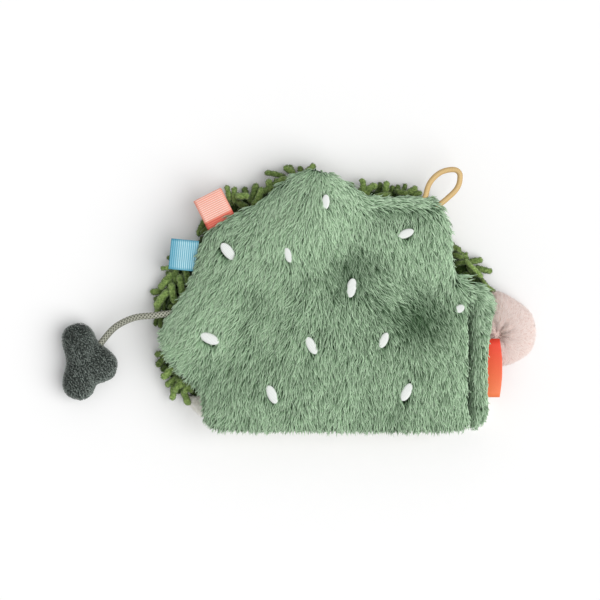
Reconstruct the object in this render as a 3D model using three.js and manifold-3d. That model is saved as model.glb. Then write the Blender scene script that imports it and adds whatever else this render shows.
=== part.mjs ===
// Soft cloth book for a baby, lying closed on its front cover.
// Millimetres. The origin lies on the table under the middle of the crease. +X runs to the bound edge,
// +Y to the top of the pages and +Z up, from the front cover to the back cover.
import * as THREE from 'three';
import { mergeVertices } from 'three/addons/utils/BufferGeometryUtils.js';
import Module from 'manifold-3d';

const wasm = await Module();
wasm.setup();

// Clearance between two pieces that are sewn together
const SEAM_GAP = 0.3;

// Thickness of each layer, from the table up
const FRONT_PILE = 5;
const FRONT_WADDING = 2.6;
const LINING = 0.8;
const PAGE_CLOTH = 0.6;
const LEAF_WADDING = 2.2;
const CRINKLE_FILM = 0.4;
const BACK_WADDING = 2.6;

// Room at the crease: from it to the panels on one side, and to the spine strip on the other
const HINGE_ROOM = 2.4;
const SPINE_ROOM = 0.65;

// Main sizes: the back cover from the crease to its far lobe and from its foot to its top lobe,
// and the spine strip at its widest
const COVER_WIDTH = 160;
const COVER_HEIGHT = 134;
const SPINE_WIDTH = 12;

// Top and foot of the crease and of the spine strip beside it, as shares of the cover's height
const FOLD_TOP = 0.0896;
const FOLD_FOOT = -0.4791;
const SPINE_FOOT = -0.4761;

// Back cover edge, from the top of the crease round to its foot, as shares of the cover's width and height
const COVER_EDGE = [
  [-0.0437, 0.1045], [-0.065, 0.194], [-0.075, 0.291], [-0.1, 0.3545], [-0.1375, 0.391], [-0.1875, 0.4015],
  [-0.25, 0.394], [-0.3, 0.3791], [-0.3438, 0.3896], [-0.4156, 0.444], [-0.4688, 0.4813], [-0.5125, 0.4948],
  [-0.5594, 0.4799], [-0.6125, 0.4366], [-0.6813, 0.3642], [-0.7625, 0.3209], [-0.8469, 0.2612],
  [-0.8781, 0.194], [-0.9, 0.0746], [-0.9531, -0.056], [-0.9912, -0.1157], [-0.9988, -0.1828],
  [-0.9531, -0.2701], [-0.8969, -0.3224], [-0.8675, -0.3731], [-0.865, -0.4366], [-0.845, -0.4746],
  [-0.8063, -0.494], [-0.5563, -0.4955], [-0.1688, -0.4985], [-0.05, -0.494],
];

// Spine strip edge, from its foot up the bound side to its top, as shares of the strip's width and the
// cover's height
const BOUND_SIDE = [
  [0.2667, -0.4791], [0.4833, -0.4687], [0.6417, -0.4433], [0.7417, -0.409], [0.6917, -0.353],
  [0.6833, -0.2679], [0.7417, -0.1709], [0.8667, -0.0739], [0.9833, -0.0037], [0.9917, 0.0194],
  [0.875, 0.0403],
];
const SPINE_SHOULDER = [[0.5417, 0.0657], [0.25, 0.0851]];

// Front cover edge, from the top of the bound side round to its foot, in shares of the back cover's sizes
const FRONT_EDGE = [
  [0.0588, 0.097], [0.025, 0.1455], [-0.0187, 0.1903], [-0.05, 0.2463], [-0.0656, 0.3284],
  [-0.1031, 0.3993], [-0.1688, 0.444], [-0.2625, 0.4515], [-0.3563, 0.459], [-0.4375, 0.4925],
  [-0.5188, 0.5239], [-0.5875, 0.5194], [-0.6562, 0.4896], [-0.7063, 0.4515], [-0.7875, 0.4142],
  [-0.8688, 0.3209], [-0.9313, 0.2127], [-0.9875, 0.1119], [-1.025, 0.0224], [-1.0281, -0.0896],
  [-1.0281, -0.2015], [-1.0063, -0.2836], [-0.9625, -0.3545], [-0.9125, -0.4254], [-0.8625, -0.4776],
  [-0.8063, -0.497], [-0.55, -0.4993], [-0.1688, -0.5015], [-0.0375, -0.4985],
];

// Height of the fleece part of the front cover above the foot of the crease
const FLEECE_HEIGHT = 15;

// Insets of the layers from the edge that they follow
const LINING_INSET = 1;
const LEAF_INSET = 2.5;
const WADDING_INSET = 7;
const SEAM_WIDTH = 3;

// Back cover plush: its height, and its crown as shares of the panel from its middle and of that height
const PLUSH_HEIGHT = 10.2;
const PLUSH_CROWN = [
  [1, 0.245], [0.985, 0.382], [0.95, 0.49], [0.88, 0.608], [0.74, 0.833], [0.45, 0.971], [0, 1],
];

// Spine strip: its roll in the same terms, and the cloth turned down and up over the bound margins
const ROLL_HEIGHT = 6.7;
const SPINE_ROLL = [
  [0.92, 0], [1, 0.269], [1, 0.537], [0.9, 0.791], [0.66, 0.955], [0.35, 1], [0, 1],
];
const SKIRT_WALL = 2;
const SKIRT_DROP = 2.9;

// Satin-stitch grains: middle x and y in shares of the cover, turn in degrees, length and width
const GRAINS = [
  [-0.4725, 0.3836, 87, 7.8, 3.8],
  [-0.2125, 0.2612, 21, 8.8, 4.2],
  [-0.7894, 0.1918, -51, 10.8, 5],
  [-0.5944, 0.1776, -72, 8, 3.8],
  [-0.3888, 0.0507, 80, 10.2, 4.8],
  [-0.0431, -0.0321, 28, 6.4, 3.5],
  [-0.8488, -0.1455, -24, 10.4, 5],
  [-0.5188, -0.1724, -62, 10, 4.6],
  [-0.2844, -0.1522, 64, 8.8, 4.1],
  [-0.6469, -0.3619, -66, 10.3, 4.7],
  [-0.21, -0.353, 63, 10.1, 4.7],
];
const GRAIN_THICKNESS = 1.4;
const GRAIN_SUNK = 0.7;

// Ribbons: a place near the rim where each is sewn in, how far it stands out, and its turn there in degrees
const RIBBON_WIDTH = 16;
const RIBBON_PLY = 0.7;
const RIBBON_FOLD = 2;
const BLUE_PLACE = [-0.8819, 0.1731];
const BLUE_REACH = 14.3;
const BLUE_TURN = 7;
const CORAL_PLACE = [-0.8063, 0.291];
const CORAL_REACH = 17.6;
const CORAL_TURN = 0;

// Hanging loop: its place, its reach out from the rim and its spread along it, its line in shares of both,
// and the places of its two legs along the rim
const LOOP_DIAMETER = 3;
const LOOP_PLACE = [-0.1269, 0.3821];
const LOOP_REACH = 21.5;
const LOOP_SPREAD = 14;
const LOOP_LINE = [
  [0.3302, -0.4429], [0.5628, -0.4286], [0.7628, -0.3143], [0.907, -0.1286], [1, 0.0929],
  [0.986, 0.2786], [0.9023, 0.3929], [0.7395, 0.4929], [0.5628, 0.5], [0.3349, 0.4143],
];
const LOOP_LEGS = [-0.3286, 0.2929];

// Charm and its cord: how far out and down the charm's middle lies from the cord's seam, the cord's line in
// shares of these and of its fall to the charm, and the charm's lobes, the waists after them and its cord
// seam in lobe widths
const CORD_DIAMETER = 3.5;
const CORD_PLACE = [-0.9531, -0.0567];
const CHARM_OUT = 47.06;
const CHARM_DOWN = 26.13;
const CORD_LINE = [
  [0.25, 0.051, 0.098], [0.422, 0.082, 0.286], [0.571, 0.177, 0.553], [0.698, 0.326, 0.804],
];
const CHARM_LOBE_WIDTH = 16;
const CHARM_LOBES = [
  [0.494, -10, 0.525],
  [0.831, 108, 0.5],
  [0.744, -108, 0.5],
];
const CHARM_WAISTS = [[0.325, 0.7125], [-0.6, 0.044], [0.3, -0.6625]];
const CHARM_ENTRY = [0.4, 0.56];
const CHARM_HEIGHT = 15;
const CHARM_CLOTH = 1.8;

// Bobble: the stuffed ball that the bound edge cuts off, how far its middle is beyond the spine strip,
// and its middle along the cover's height
const BOBBLE_WIDTH = 35.2;
const BOBBLE_LENGTH = 39.6;
const BOBBLE_HEIGHT = 12.8;
const BOBBLE_OUT = 5.7;
const BOBBLE_PLACE = -0.1127;
const BOBBLE_FULLNESS = 0.75;
const BOBBLE_CLOTH = 1.5;

// Label
const LABEL_LENGTH = 30.6;
const LABEL_REACH = 7.3;
const LABEL_FOLD = 1.2;
const LABEL_PLY = 0.4;
const LABEL_PLACE = -0.2612;

// Binding
const TAPE = 0.5;
const TAPE_END_INSET = 5;
const THREAD_DIAMETER = 0.7;
const STITCH_PITCH = 6;
const STITCH_DEPTH = 1.2;

// Reach of a cutter that passes right through
const FAR = 3 * COVER_WIDTH;

const onCover = ([x, y]) => [x * COVER_WIDTH, y * COVER_HEIGHT];
const onSpine = ([x, y]) => [x * SPINE_WIDTH, y * COVER_HEIGHT];

// Levels of the stack
const frontWaddingZ = FRONT_PILE + SEAM_GAP;
const frontLiningZ = frontWaddingZ + FRONT_WADDING + SEAM_GAP;
const leafHeight = 2 * PAGE_CLOTH + LEAF_WADDING + 2 * SEAM_GAP;
const leafZ = [frontLiningZ + LINING + SEAM_GAP];
leafZ.push(leafZ[0] + leafHeight + SEAM_GAP);
const backLiningZ = leafZ[1] + leafHeight + SEAM_GAP;
const plushZ = backLiningZ + LINING + SEAM_GAP;
const filmZ = plushZ;
const backWaddingZ = filmZ + CRINKLE_FILM + SEAM_GAP;
const pocketTop = backWaddingZ + BACK_WADDING + SEAM_GAP;
const foldZ = backLiningZ + ROLL_HEIGHT + SEAM_GAP;
const trimZ = plushZ + PLUSH_HEIGHT * PLUSH_CROWN[0][1] / 2;
const labelZ = leafZ[1] + LINING;
const crown = PLUSH_CROWN.map(([share, up]) => [share, plushZ + up * PLUSH_HEIGHT]);
const plushProfile = [[0, plushZ], [0.99, plushZ], ...crown];

// Outline that runs smoothly through its points, with the given number of steps from each to the next
function outlineOf(points, closed, steps) {
  const corners = points.map(([x, y]) => new THREE.Vector3(x, y, 0));
  const curve = new THREE.CatmullRomCurve3(corners, closed, 'centripetal');
  const line = curve.getPoints(steps * (closed ? points.length : points.length - 1));
  return (closed ? line.slice(0, -1) : line).map(({ x, y }) => new THREE.Vector2(x, y));
}

// Point of an outline nearest to a place, the edge that it is on and how far away it is
function nearestOn(outline, place) {
  let best = { distance: Infinity };
  outline.forEach((a, edge) => {
    const along = outline[(edge + 1) % outline.length].clone().sub(a);
    const share = THREE.MathUtils.clamp(place.clone().sub(a).dot(along) / along.lengthSq(), 0, 1);
    const point = a.clone().addScaledVector(along, share);
    const distance = point.distanceTo(place);
    if (distance < best.distance) best = { point, edge, distance };
  });
  return best;
}

// Outward normal of the edge that starts at each point of an anticlockwise outline
function edgeNormals(outline) {
  return outline.map((a, i) => {
    const along = outline[(i + 1) % outline.length].clone().sub(a).normalize();
    return new THREE.Vector2(along.y, -along.x);
  });
}

// Outline moved outwards by a distance, or inwards by a negative one
function offset(outline, distance) {
  const section = new wasm.CrossSection([outline.map(({ x, y }) => [x, y])]);
  const loops = section.offset(distance, 'Miter').simplify(0.02).toPolygons();
  const sizes = loops.map((loop) => Math.abs(THREE.ShapeUtils.area(loop.map(([x, y]) => ({ x, y })))));
  return loops[sizes.indexOf(Math.max(...sizes))].map(([x, y]) => new THREE.Vector2(x, y));
}

// Point of an outline nearest to a place, with the direction out of it
function rimAt(outline, [x, y]) {
  const { point, edge } = nearestOn(outline, new THREE.Vector2(x, y));
  return { point, out: edgeNormals(outline)[edge] };
}

function slab(outline, bottom, thickness, round = 0) {
  const geometry = new THREE.ExtrudeGeometry(new THREE.Shape(outline), {
    depth: thickness - 2 * round,
    bevelEnabled: round > 0,
    bevelThickness: round,
    bevelSize: round,
    bevelOffset: -round,
    bevelSegments: 2,
    curveSegments: 1,
  });
  return geometry.translate(0, 0, bottom + round);
}

const middleOf = (outline) => new THREE.Box2().setFromPoints(outline).getCenter(new THREE.Vector2());

// Closed form whose rings are the outline drawn in to a share of its size at each height,
// from the middle of the underside to the middle of the top
function cushion(outline, profile) {
  const centre = middleOf(outline);
  const rings = profile.filter(([share]) => share > 0);
  const count = outline.length;
  const positions = [];
  rings.forEach(([share, z]) => outline.forEach((point) => {
    const at = centre.clone().lerp(point, share);
    positions.push(at.x, at.y, z);
  }));
  positions.push(centre.x, centre.y, profile[0][1]);
  positions.push(centre.x, centre.y, profile[profile.length - 1][1]);
  const faces = [];
  const low = rings.length * count;
  outline.forEach((point, i) => {
    const next = (i + 1) % count;
    faces.push(low, next, i);
    for (let ring = 0; ring + 1 < rings.length; ring += 1) {
      const a = ring * count + i;
      const b = ring * count + next;
      faces.push(a, b, b + count, a, b + count, a + count);
    }
    const top = (rings.length - 1) * count;
    faces.push(low + 1, top + i, top + next);
  });
  const geometry = new THREE.BufferGeometry();
  geometry.setAttribute('position', new THREE.Float32BufferAttribute(positions, 3));
  geometry.setIndex(faces);
  return geometry;
}

// Height of a cushion's top at a place
function heightOn(outline, profile, x, y) {
  const centre = middleOf(outline);
  const away = new THREE.Vector2(x, y).sub(centre);
  const reaches = outline.map((a, i) => {
    const b = outline[(i + 1) % outline.length];
    const edge = b.clone().sub(a);
    const turn = away.cross(edge);
    const start = a.clone().sub(centre);
    const along = start.cross(edge) / turn;
    const across = start.cross(away) / turn;
    return across >= 0 && across <= 1 && along > 0 ? along : Infinity;
  });
  const share = 1 / Math.min(...reaches);
  const top = profile.slice(profile.findIndex(([ring]) => ring === 1));
  const outer = top.findIndex(([ring]) => ring <= share);
  const [innerShare, innerZ] = top[outer];
  const [outerShare, outerZ] = top[Math.max(outer - 1, 0)];
  const mix = (share - innerShare) / Math.max(outerShare - innerShare, 1e-6);
  return innerZ + (outerZ - innerZ) * Math.min(mix, 1);
}

function toSolid(geometry) {
  const bare = new THREE.BufferGeometry();
  bare.setAttribute('position', geometry.getAttribute('position'));
  bare.setIndex(geometry.index);
  const merged = mergeVertices(bare, 1e-4);
  return new wasm.Manifold(new wasm.Mesh({
    numProp: 3,
    vertProperties: new Float32Array(merged.attributes.position.array),
    triVerts: new Uint32Array(merged.index.array),
  }));
}

function toGeometry(solid) {
  const mesh = solid.getMesh();
  const geometry = new THREE.BufferGeometry();
  geometry.setAttribute('position', new THREE.BufferAttribute(mesh.vertProperties, 3));
  geometry.setIndex(new THREE.BufferAttribute(mesh.triVerts, 1));
  return geometry;
}

const join = (...pieces) => toGeometry(pieces.map(toSolid).reduce((sum, piece) => sum.add(piece)));
const cut = (piece, ...tools) =>
  toGeometry(tools.map(toSolid).reduce((left, tool) => left.subtract(tool), toSolid(piece)));
const common = (piece, tool) => toGeometry(toSolid(piece).intersect(toSolid(tool)));

const block = (width, depth, height, x, y, z) => new THREE.BoxGeometry(width, depth, height).translate(x, y, z);

// Round cord along a line, with a ball at each end
function roundCord(line, diameter, steps, sides) {
  const circle = new THREE.Shape().absarc(0, 0, diameter / 2, 0, 2 * Math.PI);
  const path = new THREE.CatmullRomCurve3(line, false, 'centripetal');
  const tube = new THREE.ExtrudeGeometry(circle, { steps, extrudePath: path, curveSegments: sides });
  const ball = (at) => new THREE.SphereGeometry(diameter / 2, 8, 6).translate(at.x, at.y, at.z);
  return join(tube, ball(line[0]), ball(line[line.length - 1]));
}

// Ribbon folded back on itself, lying along +X from the axis of its sewn end, with its width along Y
function foldedRibbon(reach, width, thickness, ply) {
  const round = thickness / 2;
  const loop = (shape, radius) => {
    shape.absarc(reach - round, 0, radius, -Math.PI / 2, Math.PI / 2);
    shape.absarc(0, 0, radius, Math.PI / 2, 1.5 * Math.PI);
    return shape;
  };
  const band = loop(new THREE.Shape(), round);
  band.holes.push(loop(new THREE.Path(), round - ply));
  const geometry = new THREE.ExtrudeGeometry(band, { depth: width, bevelEnabled: false, curveSegments: 5 });
  return geometry.translate(0, 0, -width / 2).rotateX(Math.PI / 2);
}

const book = new THREE.Group();
book.name = 'cloth_book';

function body(name, parent, x = 0, y = 0, z = 0, turn = 0) {
  const group = new THREE.Group();
  group.name = name;
  group.position.set(x, y, z);
  group.rotation.z = turn;
  parent.add(group);
  return group;
}

function piece(parent, name, geometry, colour, roughness = 0.95) {
  const mesh = new THREE.Mesh(geometry, new THREE.MeshStandardMaterial({ color: colour, roughness }));
  mesh.name = name;
  parent.add(mesh);
}

const foldTop = FOLD_TOP * COVER_HEIGHT;
const foldFoot = FOLD_FOOT * COVER_HEIGHT;
const boundSide = BOUND_SIDE.map(onSpine);
const coverOutline = outlineOf(
  [[-HINGE_ROOM, foldTop], ...COVER_EDGE.map(onCover), [-HINGE_ROOM, foldFoot]], false, 2,
);
const spineFoot = [SPINE_ROOM, SPINE_FOOT * COVER_HEIGHT];
const spineTop = [SPINE_ROOM, foldTop];
const spineOutline = outlineOf([spineFoot, ...boundSide, ...SPINE_SHOULDER.map(onSpine), spineTop], false, 2);
const frontOutline = outlineOf([...boundSide, ...FRONT_EDGE.map(onCover)], true, 2);
const leafOutline = offset(coverOutline, -LEAF_INSET);
const leafPocket = offset(leafOutline, -SEAM_WIDTH);
const fleeceTop = foldFoot + FLEECE_HEIGHT;

// Front cover: the pile cloth and the fleece below it, turned up along the bound edge
const front = body('front_cover', book);
const spineInner = offset(spineOutline, -SKIRT_WALL);
const marginOutline = offset(spineInner, -SEAM_GAP);
const skirt = (bottom, height) => cut(
  slab(spineOutline, bottom, height),
  slab(spineInner, bottom - 1, height + 2),
  block(FAR, FAR, FAR, SKIRT_WALL + SPINE_ROOM - FAR / 2, 0, 0),
);
const skirtSeam = labelZ - LABEL_FOLD / 2 - SEAM_GAP;
const frontCloth = join(
  slab(frontOutline, 0, FRONT_PILE, 1.6),
  skirt(FRONT_PILE / 2, skirtSeam - FRONT_PILE / 2),
);
const below = block(FAR, FAR, FAR, 0, fleeceTop - FAR / 2, 0);
piece(front, 'front_chenille', cut(frontCloth, below.clone().translate(0, SEAM_GAP, 0)), 0x6f8550);
piece(front, 'front_fleece', common(frontCloth, below), 0xf1e6d2);
const liningOutline = offset(coverOutline, -LINING_INSET);
const frontPocket = offset(liningOutline, -SEAM_WIDTH);
piece(front, 'front_wadding', slab(offset(frontPocket, -SEAM_GAP), frontWaddingZ, FRONT_WADDING), 0xf7f5ef);
piece(front, 'front_lining', cut(
  slab(liningOutline, frontWaddingZ, frontLiningZ + LINING - frontWaddingZ),
  slab(frontPocket, frontWaddingZ - 1, frontLiningZ - frontWaddingZ + 1),
), 0xf0e6d6);

// Bound margins, spine strip and binding thread
const frontMargin = leafZ[0] - SEAM_GAP - frontWaddingZ;
piece(front, 'front_bound_margin', slab(marginOutline, frontWaddingZ, frontMargin), 0xf0e6d6);
leafZ.forEach((bottom, i) => {
  piece(front, `leaf_${i + 1}_bound_margin`, slab(marginOutline, bottom, leafHeight), 0xefe4d2);
});
const rollProfile = [[0, backLiningZ], ...SPINE_ROLL.map(([share, up]) => [share, backLiningZ + up * ROLL_HEIGHT])];
const drop = skirt(backLiningZ - SKIRT_DROP, SKIRT_DROP + ROLL_HEIGHT / 2);
piece(front, 'spine_plush', join(cushion(spineOutline, rollProfile), drop), 0x8fa98a);

const threadX = SPINE_ROOM - SEAM_GAP - THREAD_DIAMETER / 2;
const threadZ = foldZ - 2 * STITCH_DEPTH - SEAM_GAP;
const stitches = [];
for (let y = foldFoot + TAPE_END_INSET; y <= foldTop - TAPE_END_INSET; y += STITCH_PITCH / 2) {
  const side = stitches.length % 2 ? -1 : 1;
  stitches.push(new THREE.Vector3(threadX, y, threadZ + side * STITCH_DEPTH));
}
piece(front, 'binding_thread', roundCord(stitches, THREAD_DIAMETER, stitches.length - 1, 3), 0xe9e2d0, 0.8);

// Leaves, each with a tape that carries it up to the crease
function leaf(parent, number) {
  const group = body(`leaf_${number}`, parent);
  const bottom = leafZ[number - 1];
  const waddingZ = bottom + PAGE_CLOTH + SEAM_GAP;
  const tapeX = threadX - THREAD_DIAMETER / 2 - number * (SEAM_GAP + TAPE);
  const footX = -HINGE_ROOM - LEAF_INSET + SEAM_GAP;
  const top = foldZ - SEAM_GAP - TAPE;
  const seam = bottom + leafHeight / 2;
  const half = (leafHeight - SEAM_GAP) / 2;
  const hollow = slab(leafPocket, waddingZ - SEAM_GAP, LEAF_WADDING + 2 * SEAM_GAP);
  piece(group, `leaf_${number}_lower_cloth`, cut(slab(leafOutline, bottom, half), hollow), 0xefe2cb);
  piece(group, `leaf_${number}_wadding`, slab(offset(leafPocket, -SEAM_GAP), waddingZ, LEAF_WADDING), 0xf7f5ef);
  piece(group, `leaf_${number}_upper_cloth`, cut(slab(leafOutline, seam + SEAM_GAP / 2, half), hollow), 0xefe2cb);
  const section = new THREE.Shape([
    new THREE.Vector2(footX, waddingZ), new THREE.Vector2(tapeX + TAPE, waddingZ),
    new THREE.Vector2(tapeX + TAPE, top), new THREE.Vector2(tapeX, top),
    new THREE.Vector2(tapeX, waddingZ + TAPE), new THREE.Vector2(footX, waddingZ + TAPE),
  ]);
  const length = foldTop - foldFoot - 2 * TAPE_END_INSET;
  const tape = new THREE.ExtrudeGeometry(section, { depth: length, bevelEnabled: false });
  tape.rotateX(Math.PI / 2).translate(0, foldTop - TAPE_END_INSET, 0);
  piece(group, `leaf_${number}_hinge_tape`, tape, 0xe4d8c2);
  return group;
}
const firstLeaf = leaf(front, 1);
const secondLeaf = leaf(firstLeaf, 2);

// Back cover
const back = body('back_cover', secondLeaf);
piece(back, 'back_lining', slab(offset(coverOutline, -LINING_INSET), backLiningZ, LINING), 0xf0e6d6);
const pocket = offset(coverOutline, -WADDING_INSET);
const inPocket = offset(pocket, -SEAM_GAP);
piece(back, 'back_crinkle_film', slab(inPocket, filmZ, CRINKLE_FILM), 0xdfe6ea, 0.3);
piece(back, 'back_wadding', slab(inPocket, backWaddingZ, BACK_WADDING), 0xf7f5ef);

function grainOutline(length, width) {
  const shape = new THREE.Shape();
  shape.moveTo(-length / 2, 0);
  shape.quadraticCurveTo(0, -width, length / 2, 0);
  shape.quadraticCurveTo(0, width, -length / 2, 0);
  return shape.getPoints(6).slice(0, -1);
}
const placed = (geometry, [x, y, turn], z) => geometry.rotateZ(THREE.MathUtils.degToRad(turn)).translate(x, y, z);
const grains = GRAINS.map(([x, y, ...rest]) => [...onCover([x, y]), ...rest]);
const hollows = grains.map((grain) => {
  const surface = heightOn(coverOutline, plushProfile, grain[0], grain[1]);
  const outline = grainOutline(grain[3] + 4 * SEAM_GAP, grain[4] + 2 * SEAM_GAP);
  return placed(slab(outline, 0, FAR), grain, surface - GRAIN_SUNK - SEAM_GAP);
});
const plush = cut(cushion(coverOutline, plushProfile), slab(pocket, plushZ - 1, pocketTop - plushZ + 1), ...hollows);
piece(back, 'back_plush', plush, 0x8fa98a);
grains.forEach((grain, i) => {
  const surface = heightOn(coverOutline, plushProfile, grain[0], grain[1]);
  const stitch = slab(grainOutline(grain[3], grain[4]), 0, GRAIN_THICKNESS);
  piece(back, `grain_${String(i + 1).padStart(2, '0')}`, placed(stitch, grain, surface - GRAIN_SUNK), 0xf6f8f4, 0.6);
});

// Ribbons, each a body that turns about its sewn end
function ribbon(name, place, reach, turn, colour) {
  const rim = rimAt(coverOutline, onCover(place));
  const swing = THREE.MathUtils.degToRad(turn);
  const out = rim.out.clone().rotateAround(new THREE.Vector2(), swing);
  const clear = SEAM_GAP + RIBBON_FOLD / 2 + Math.abs(Math.sin(swing)) * RIBBON_WIDTH / 2;
  const start = rim.point.clone().addScaledVector(out, clear);
  const group = body(name, back, start.x, start.y, trimZ, out.angle());
  const tab = foldedRibbon(reach - RIBBON_FOLD / 2, RIBBON_WIDTH, RIBBON_FOLD, RIBBON_PLY);
  piece(group, `${name}_ribbon`, tab, colour, 0.85);
}
ribbon('blue_tab', BLUE_PLACE, BLUE_REACH, BLUE_TURN, 0x8fc5d1);
ribbon('coral_tab', CORAL_PLACE, CORAL_REACH, CORAL_TURN, 0xf2b8a4);

// Hanging loop
const loopRim = rimAt(coverOutline, onCover(LOOP_PLACE));
const loopOut = SEAM_GAP + LOOP_DIAMETER / 2;
const rimWay = new THREE.Vector2(loopRim.out.y, -loopRim.out.x);
const loopLegs = LOOP_LEGS.map((along) => along * LOOP_SPREAD);
const legGaps = loopLegs.map((along) => {
  const leg = loopRim.point.clone().addScaledVector(loopRim.out, loopOut).addScaledVector(rimWay, along);
  return nearestOn(coverOutline, leg).distance - loopOut;
});
const loopStart = loopRim.point.clone().addScaledVector(loopRim.out, loopOut - Math.min(...legGaps));
const hanger = body('hanging_loop', back, loopStart.x, loopStart.y, trimZ, loopRim.out.angle());
const loopLine = [
  new THREE.Vector3(0, -loopLegs[0], 0),
  ...LOOP_LINE.map(([out, along]) => new THREE.Vector3(out * LOOP_REACH - loopOut, -along * LOOP_SPREAD, 0)),
  new THREE.Vector3(0, -loopLegs[1], 0),
];
piece(hanger, 'hanging_elastic', roundCord(loopLine, LOOP_DIAMETER, 24, 4), 0xd9bf86, 0.8);

// Charm cord and charm
const cordRim = rimAt(coverOutline, onCover(CORD_PLACE));
const cordStart = cordRim.point.clone().addScaledVector(cordRim.out, SEAM_GAP + CORD_DIAMETER / 2);
const charmMiddle = [cordStart.x - CHARM_OUT, cordStart.y - CHARM_DOWN];
const onCharm = ([x, y]) => [charmMiddle[0] + x * CHARM_LOBE_WIDTH, charmMiddle[1] + y * CHARM_LOBE_WIDTH];
const lobeLine = ([away, bearing, radius]) => [-75, -28, 28, 75].map((swing) => {
  const a = THREE.MathUtils.degToRad(bearing);
  const b = THREE.MathUtils.degToRad(bearing + swing);
  return onCharm([away * Math.cos(a) + radius * Math.cos(b), away * Math.sin(a) + radius * Math.sin(b)]);
});
const charmLine = CHARM_LOBES.flatMap((lobe, i) => [...lobeLine(lobe), onCharm(CHARM_WAISTS[i])]);
const charmOutline = outlineOf(charmLine, true, 3);
const charmRim = rimAt(charmOutline, onCharm(CHARM_ENTRY));
const charmEntry = charmRim.point.clone().addScaledVector(charmRim.out, SEAM_GAP + CORD_DIAMETER / 2);
const seamZ = CHARM_HEIGHT / 2;
const cordGroup = body('charm_cord', back, cordStart.x, cordStart.y, trimZ);
const cordLine = [
  new THREE.Vector3(cordStart.x, cordStart.y, trimZ),
  ...CORD_LINE.map(([out, down, fall]) => new THREE.Vector3(
    cordStart.x - out * CHARM_OUT, cordStart.y - down * CHARM_DOWN, trimZ - fall * (trimZ - seamZ),
  )),
  new THREE.Vector3(charmEntry.x, charmEntry.y, seamZ),
].map((point) => point.sub(cordGroup.position));
piece(cordGroup, 'charm_cord_braid', roundCord(cordLine, CORD_DIAMETER, 14, 4), 0x8a8d80);

const charm = body('charm', cordGroup, charmEntry.x - cordStart.x, charmEntry.y - cordStart.y, seamZ - trimZ);
const toCharm = (geometry) => geometry.translate(-charmEntry.x, -charmEntry.y, -seamZ);
const charmLow = seamZ - SEAM_GAP / 2;
const charmHigh = seamZ + SEAM_GAP / 2;
const rise = (up) => CHARM_HEIGHT - up;
const shell = [[0, 0], [0.5, 0.02], [0.8, 0.127], [0.95, 0.307]].map(([share, up]) => [share, up * CHARM_HEIGHT]);
const fill = 1 - 2.4 * CHARM_CLOTH / (CHARM_LOBE_WIDTH * (CHARM_LOBES[0][0] + CHARM_LOBES[0][2]));
const inner = (gap) => shell.map(([share, up]) => [
  share * (fill - gap / CHARM_HEIGHT),
  (up + CHARM_CLOTH + gap) * (1 - share) + share * (up + 0.3 * CHARM_CLOTH + gap),
]);
const full = fill;
const hollowLow = cushion(charmOutline, [...inner(0), [full, charmLow + 1], [0, charmLow + 1]]);
const hollowHigh = cushion(charmOutline, [
  [0, charmHigh - 1], [full, charmHigh - 1], ...inner(0).reverse().map(([share, up]) => [share, rise(up)]),
]);
const lowShell = cushion(charmOutline, [...shell, [1, charmLow], [0, charmLow]]);
const highShell = cushion(charmOutline, [
  [0, charmHigh], [1, charmHigh], ...shell.slice().reverse().map(([share, up]) => [share, rise(up)]),
]);
const stuffing = cushion(charmOutline, [
  ...inner(SEAM_GAP), [full - 0.03, seamZ], ...inner(SEAM_GAP).reverse().map(([share, up]) => [share, rise(up)]),
]);
piece(charm, 'charm_lower_cloth', toCharm(cut(lowShell, hollowLow)), 0x4a524d);
piece(charm, 'charm_upper_cloth', toCharm(cut(highShell, hollowHigh)), 0x4a524d);
piece(charm, 'charm_stuffing', toCharm(stuffing), 0xf7f5ef);

// Bobble, open at the back where it is sewn along the bound edge
function ball(drawnIn, gap) {
  const [x, y, z] = [BOBBLE_WIDTH, BOBBLE_LENGTH, BOBBLE_HEIGHT].map((size) => size / 2 - drawnIn);
  const sphere = new THREE.SphereGeometry(1, 24, 12).rotateX(Math.PI / 2);
  const points = sphere.getAttribute('position');
  for (let i = 0; i < points.count; i += 1) {
    const up = points.getZ(i);
    points.setZ(i, Math.sign(up) * Math.abs(up) ** BOBBLE_FULLNESS);
  }
  sphere.scale(x, y, z).translate(SPINE_WIDTH + BOBBLE_OUT, BOBBLE_PLACE * COVER_HEIGHT, BOBBLE_HEIGHT / 2);
  return gap ? cut(sphere, slab(offset(frontOutline, gap), -FAR / 2, FAR)) : sphere;
}
piece(front, 'bobble_cloth', cut(ball(0, SEAM_GAP), ball(BOBBLE_CLOTH, 0)), 0xe6cfc6);
piece(front, 'bobble_stuffing', ball(BOBBLE_CLOTH + SEAM_GAP, 2 * SEAM_GAP), 0xf7f5ef);

// Label
const labelY = LABEL_PLACE * COVER_HEIGHT;
const labelEnds = [labelY - LABEL_LENGTH / 2, labelY + LABEL_LENGTH / 2];
const boundX = Math.max(...spineOutline.filter(({ y }) => y > labelEnds[0] && y < labelEnds[1]).map(({ x }) => x));
const labelX = boundX + SEAM_GAP + LABEL_FOLD / 2;
const labelGroup = body('label', front, labelX, labelY, labelZ);
const labelTab = foldedRibbon(LABEL_REACH - LABEL_FOLD / 2, LABEL_LENGTH, LABEL_FOLD, LABEL_PLY);
piece(labelGroup, 'side_label', labelTab, 0xf0764f, 0.6);

export default book;
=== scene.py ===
import math
from collections import namedtuple
from contextlib import contextmanager

import bpy
import numpy as np
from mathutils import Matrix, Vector
from mathutils.kdtree import KDTree


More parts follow.
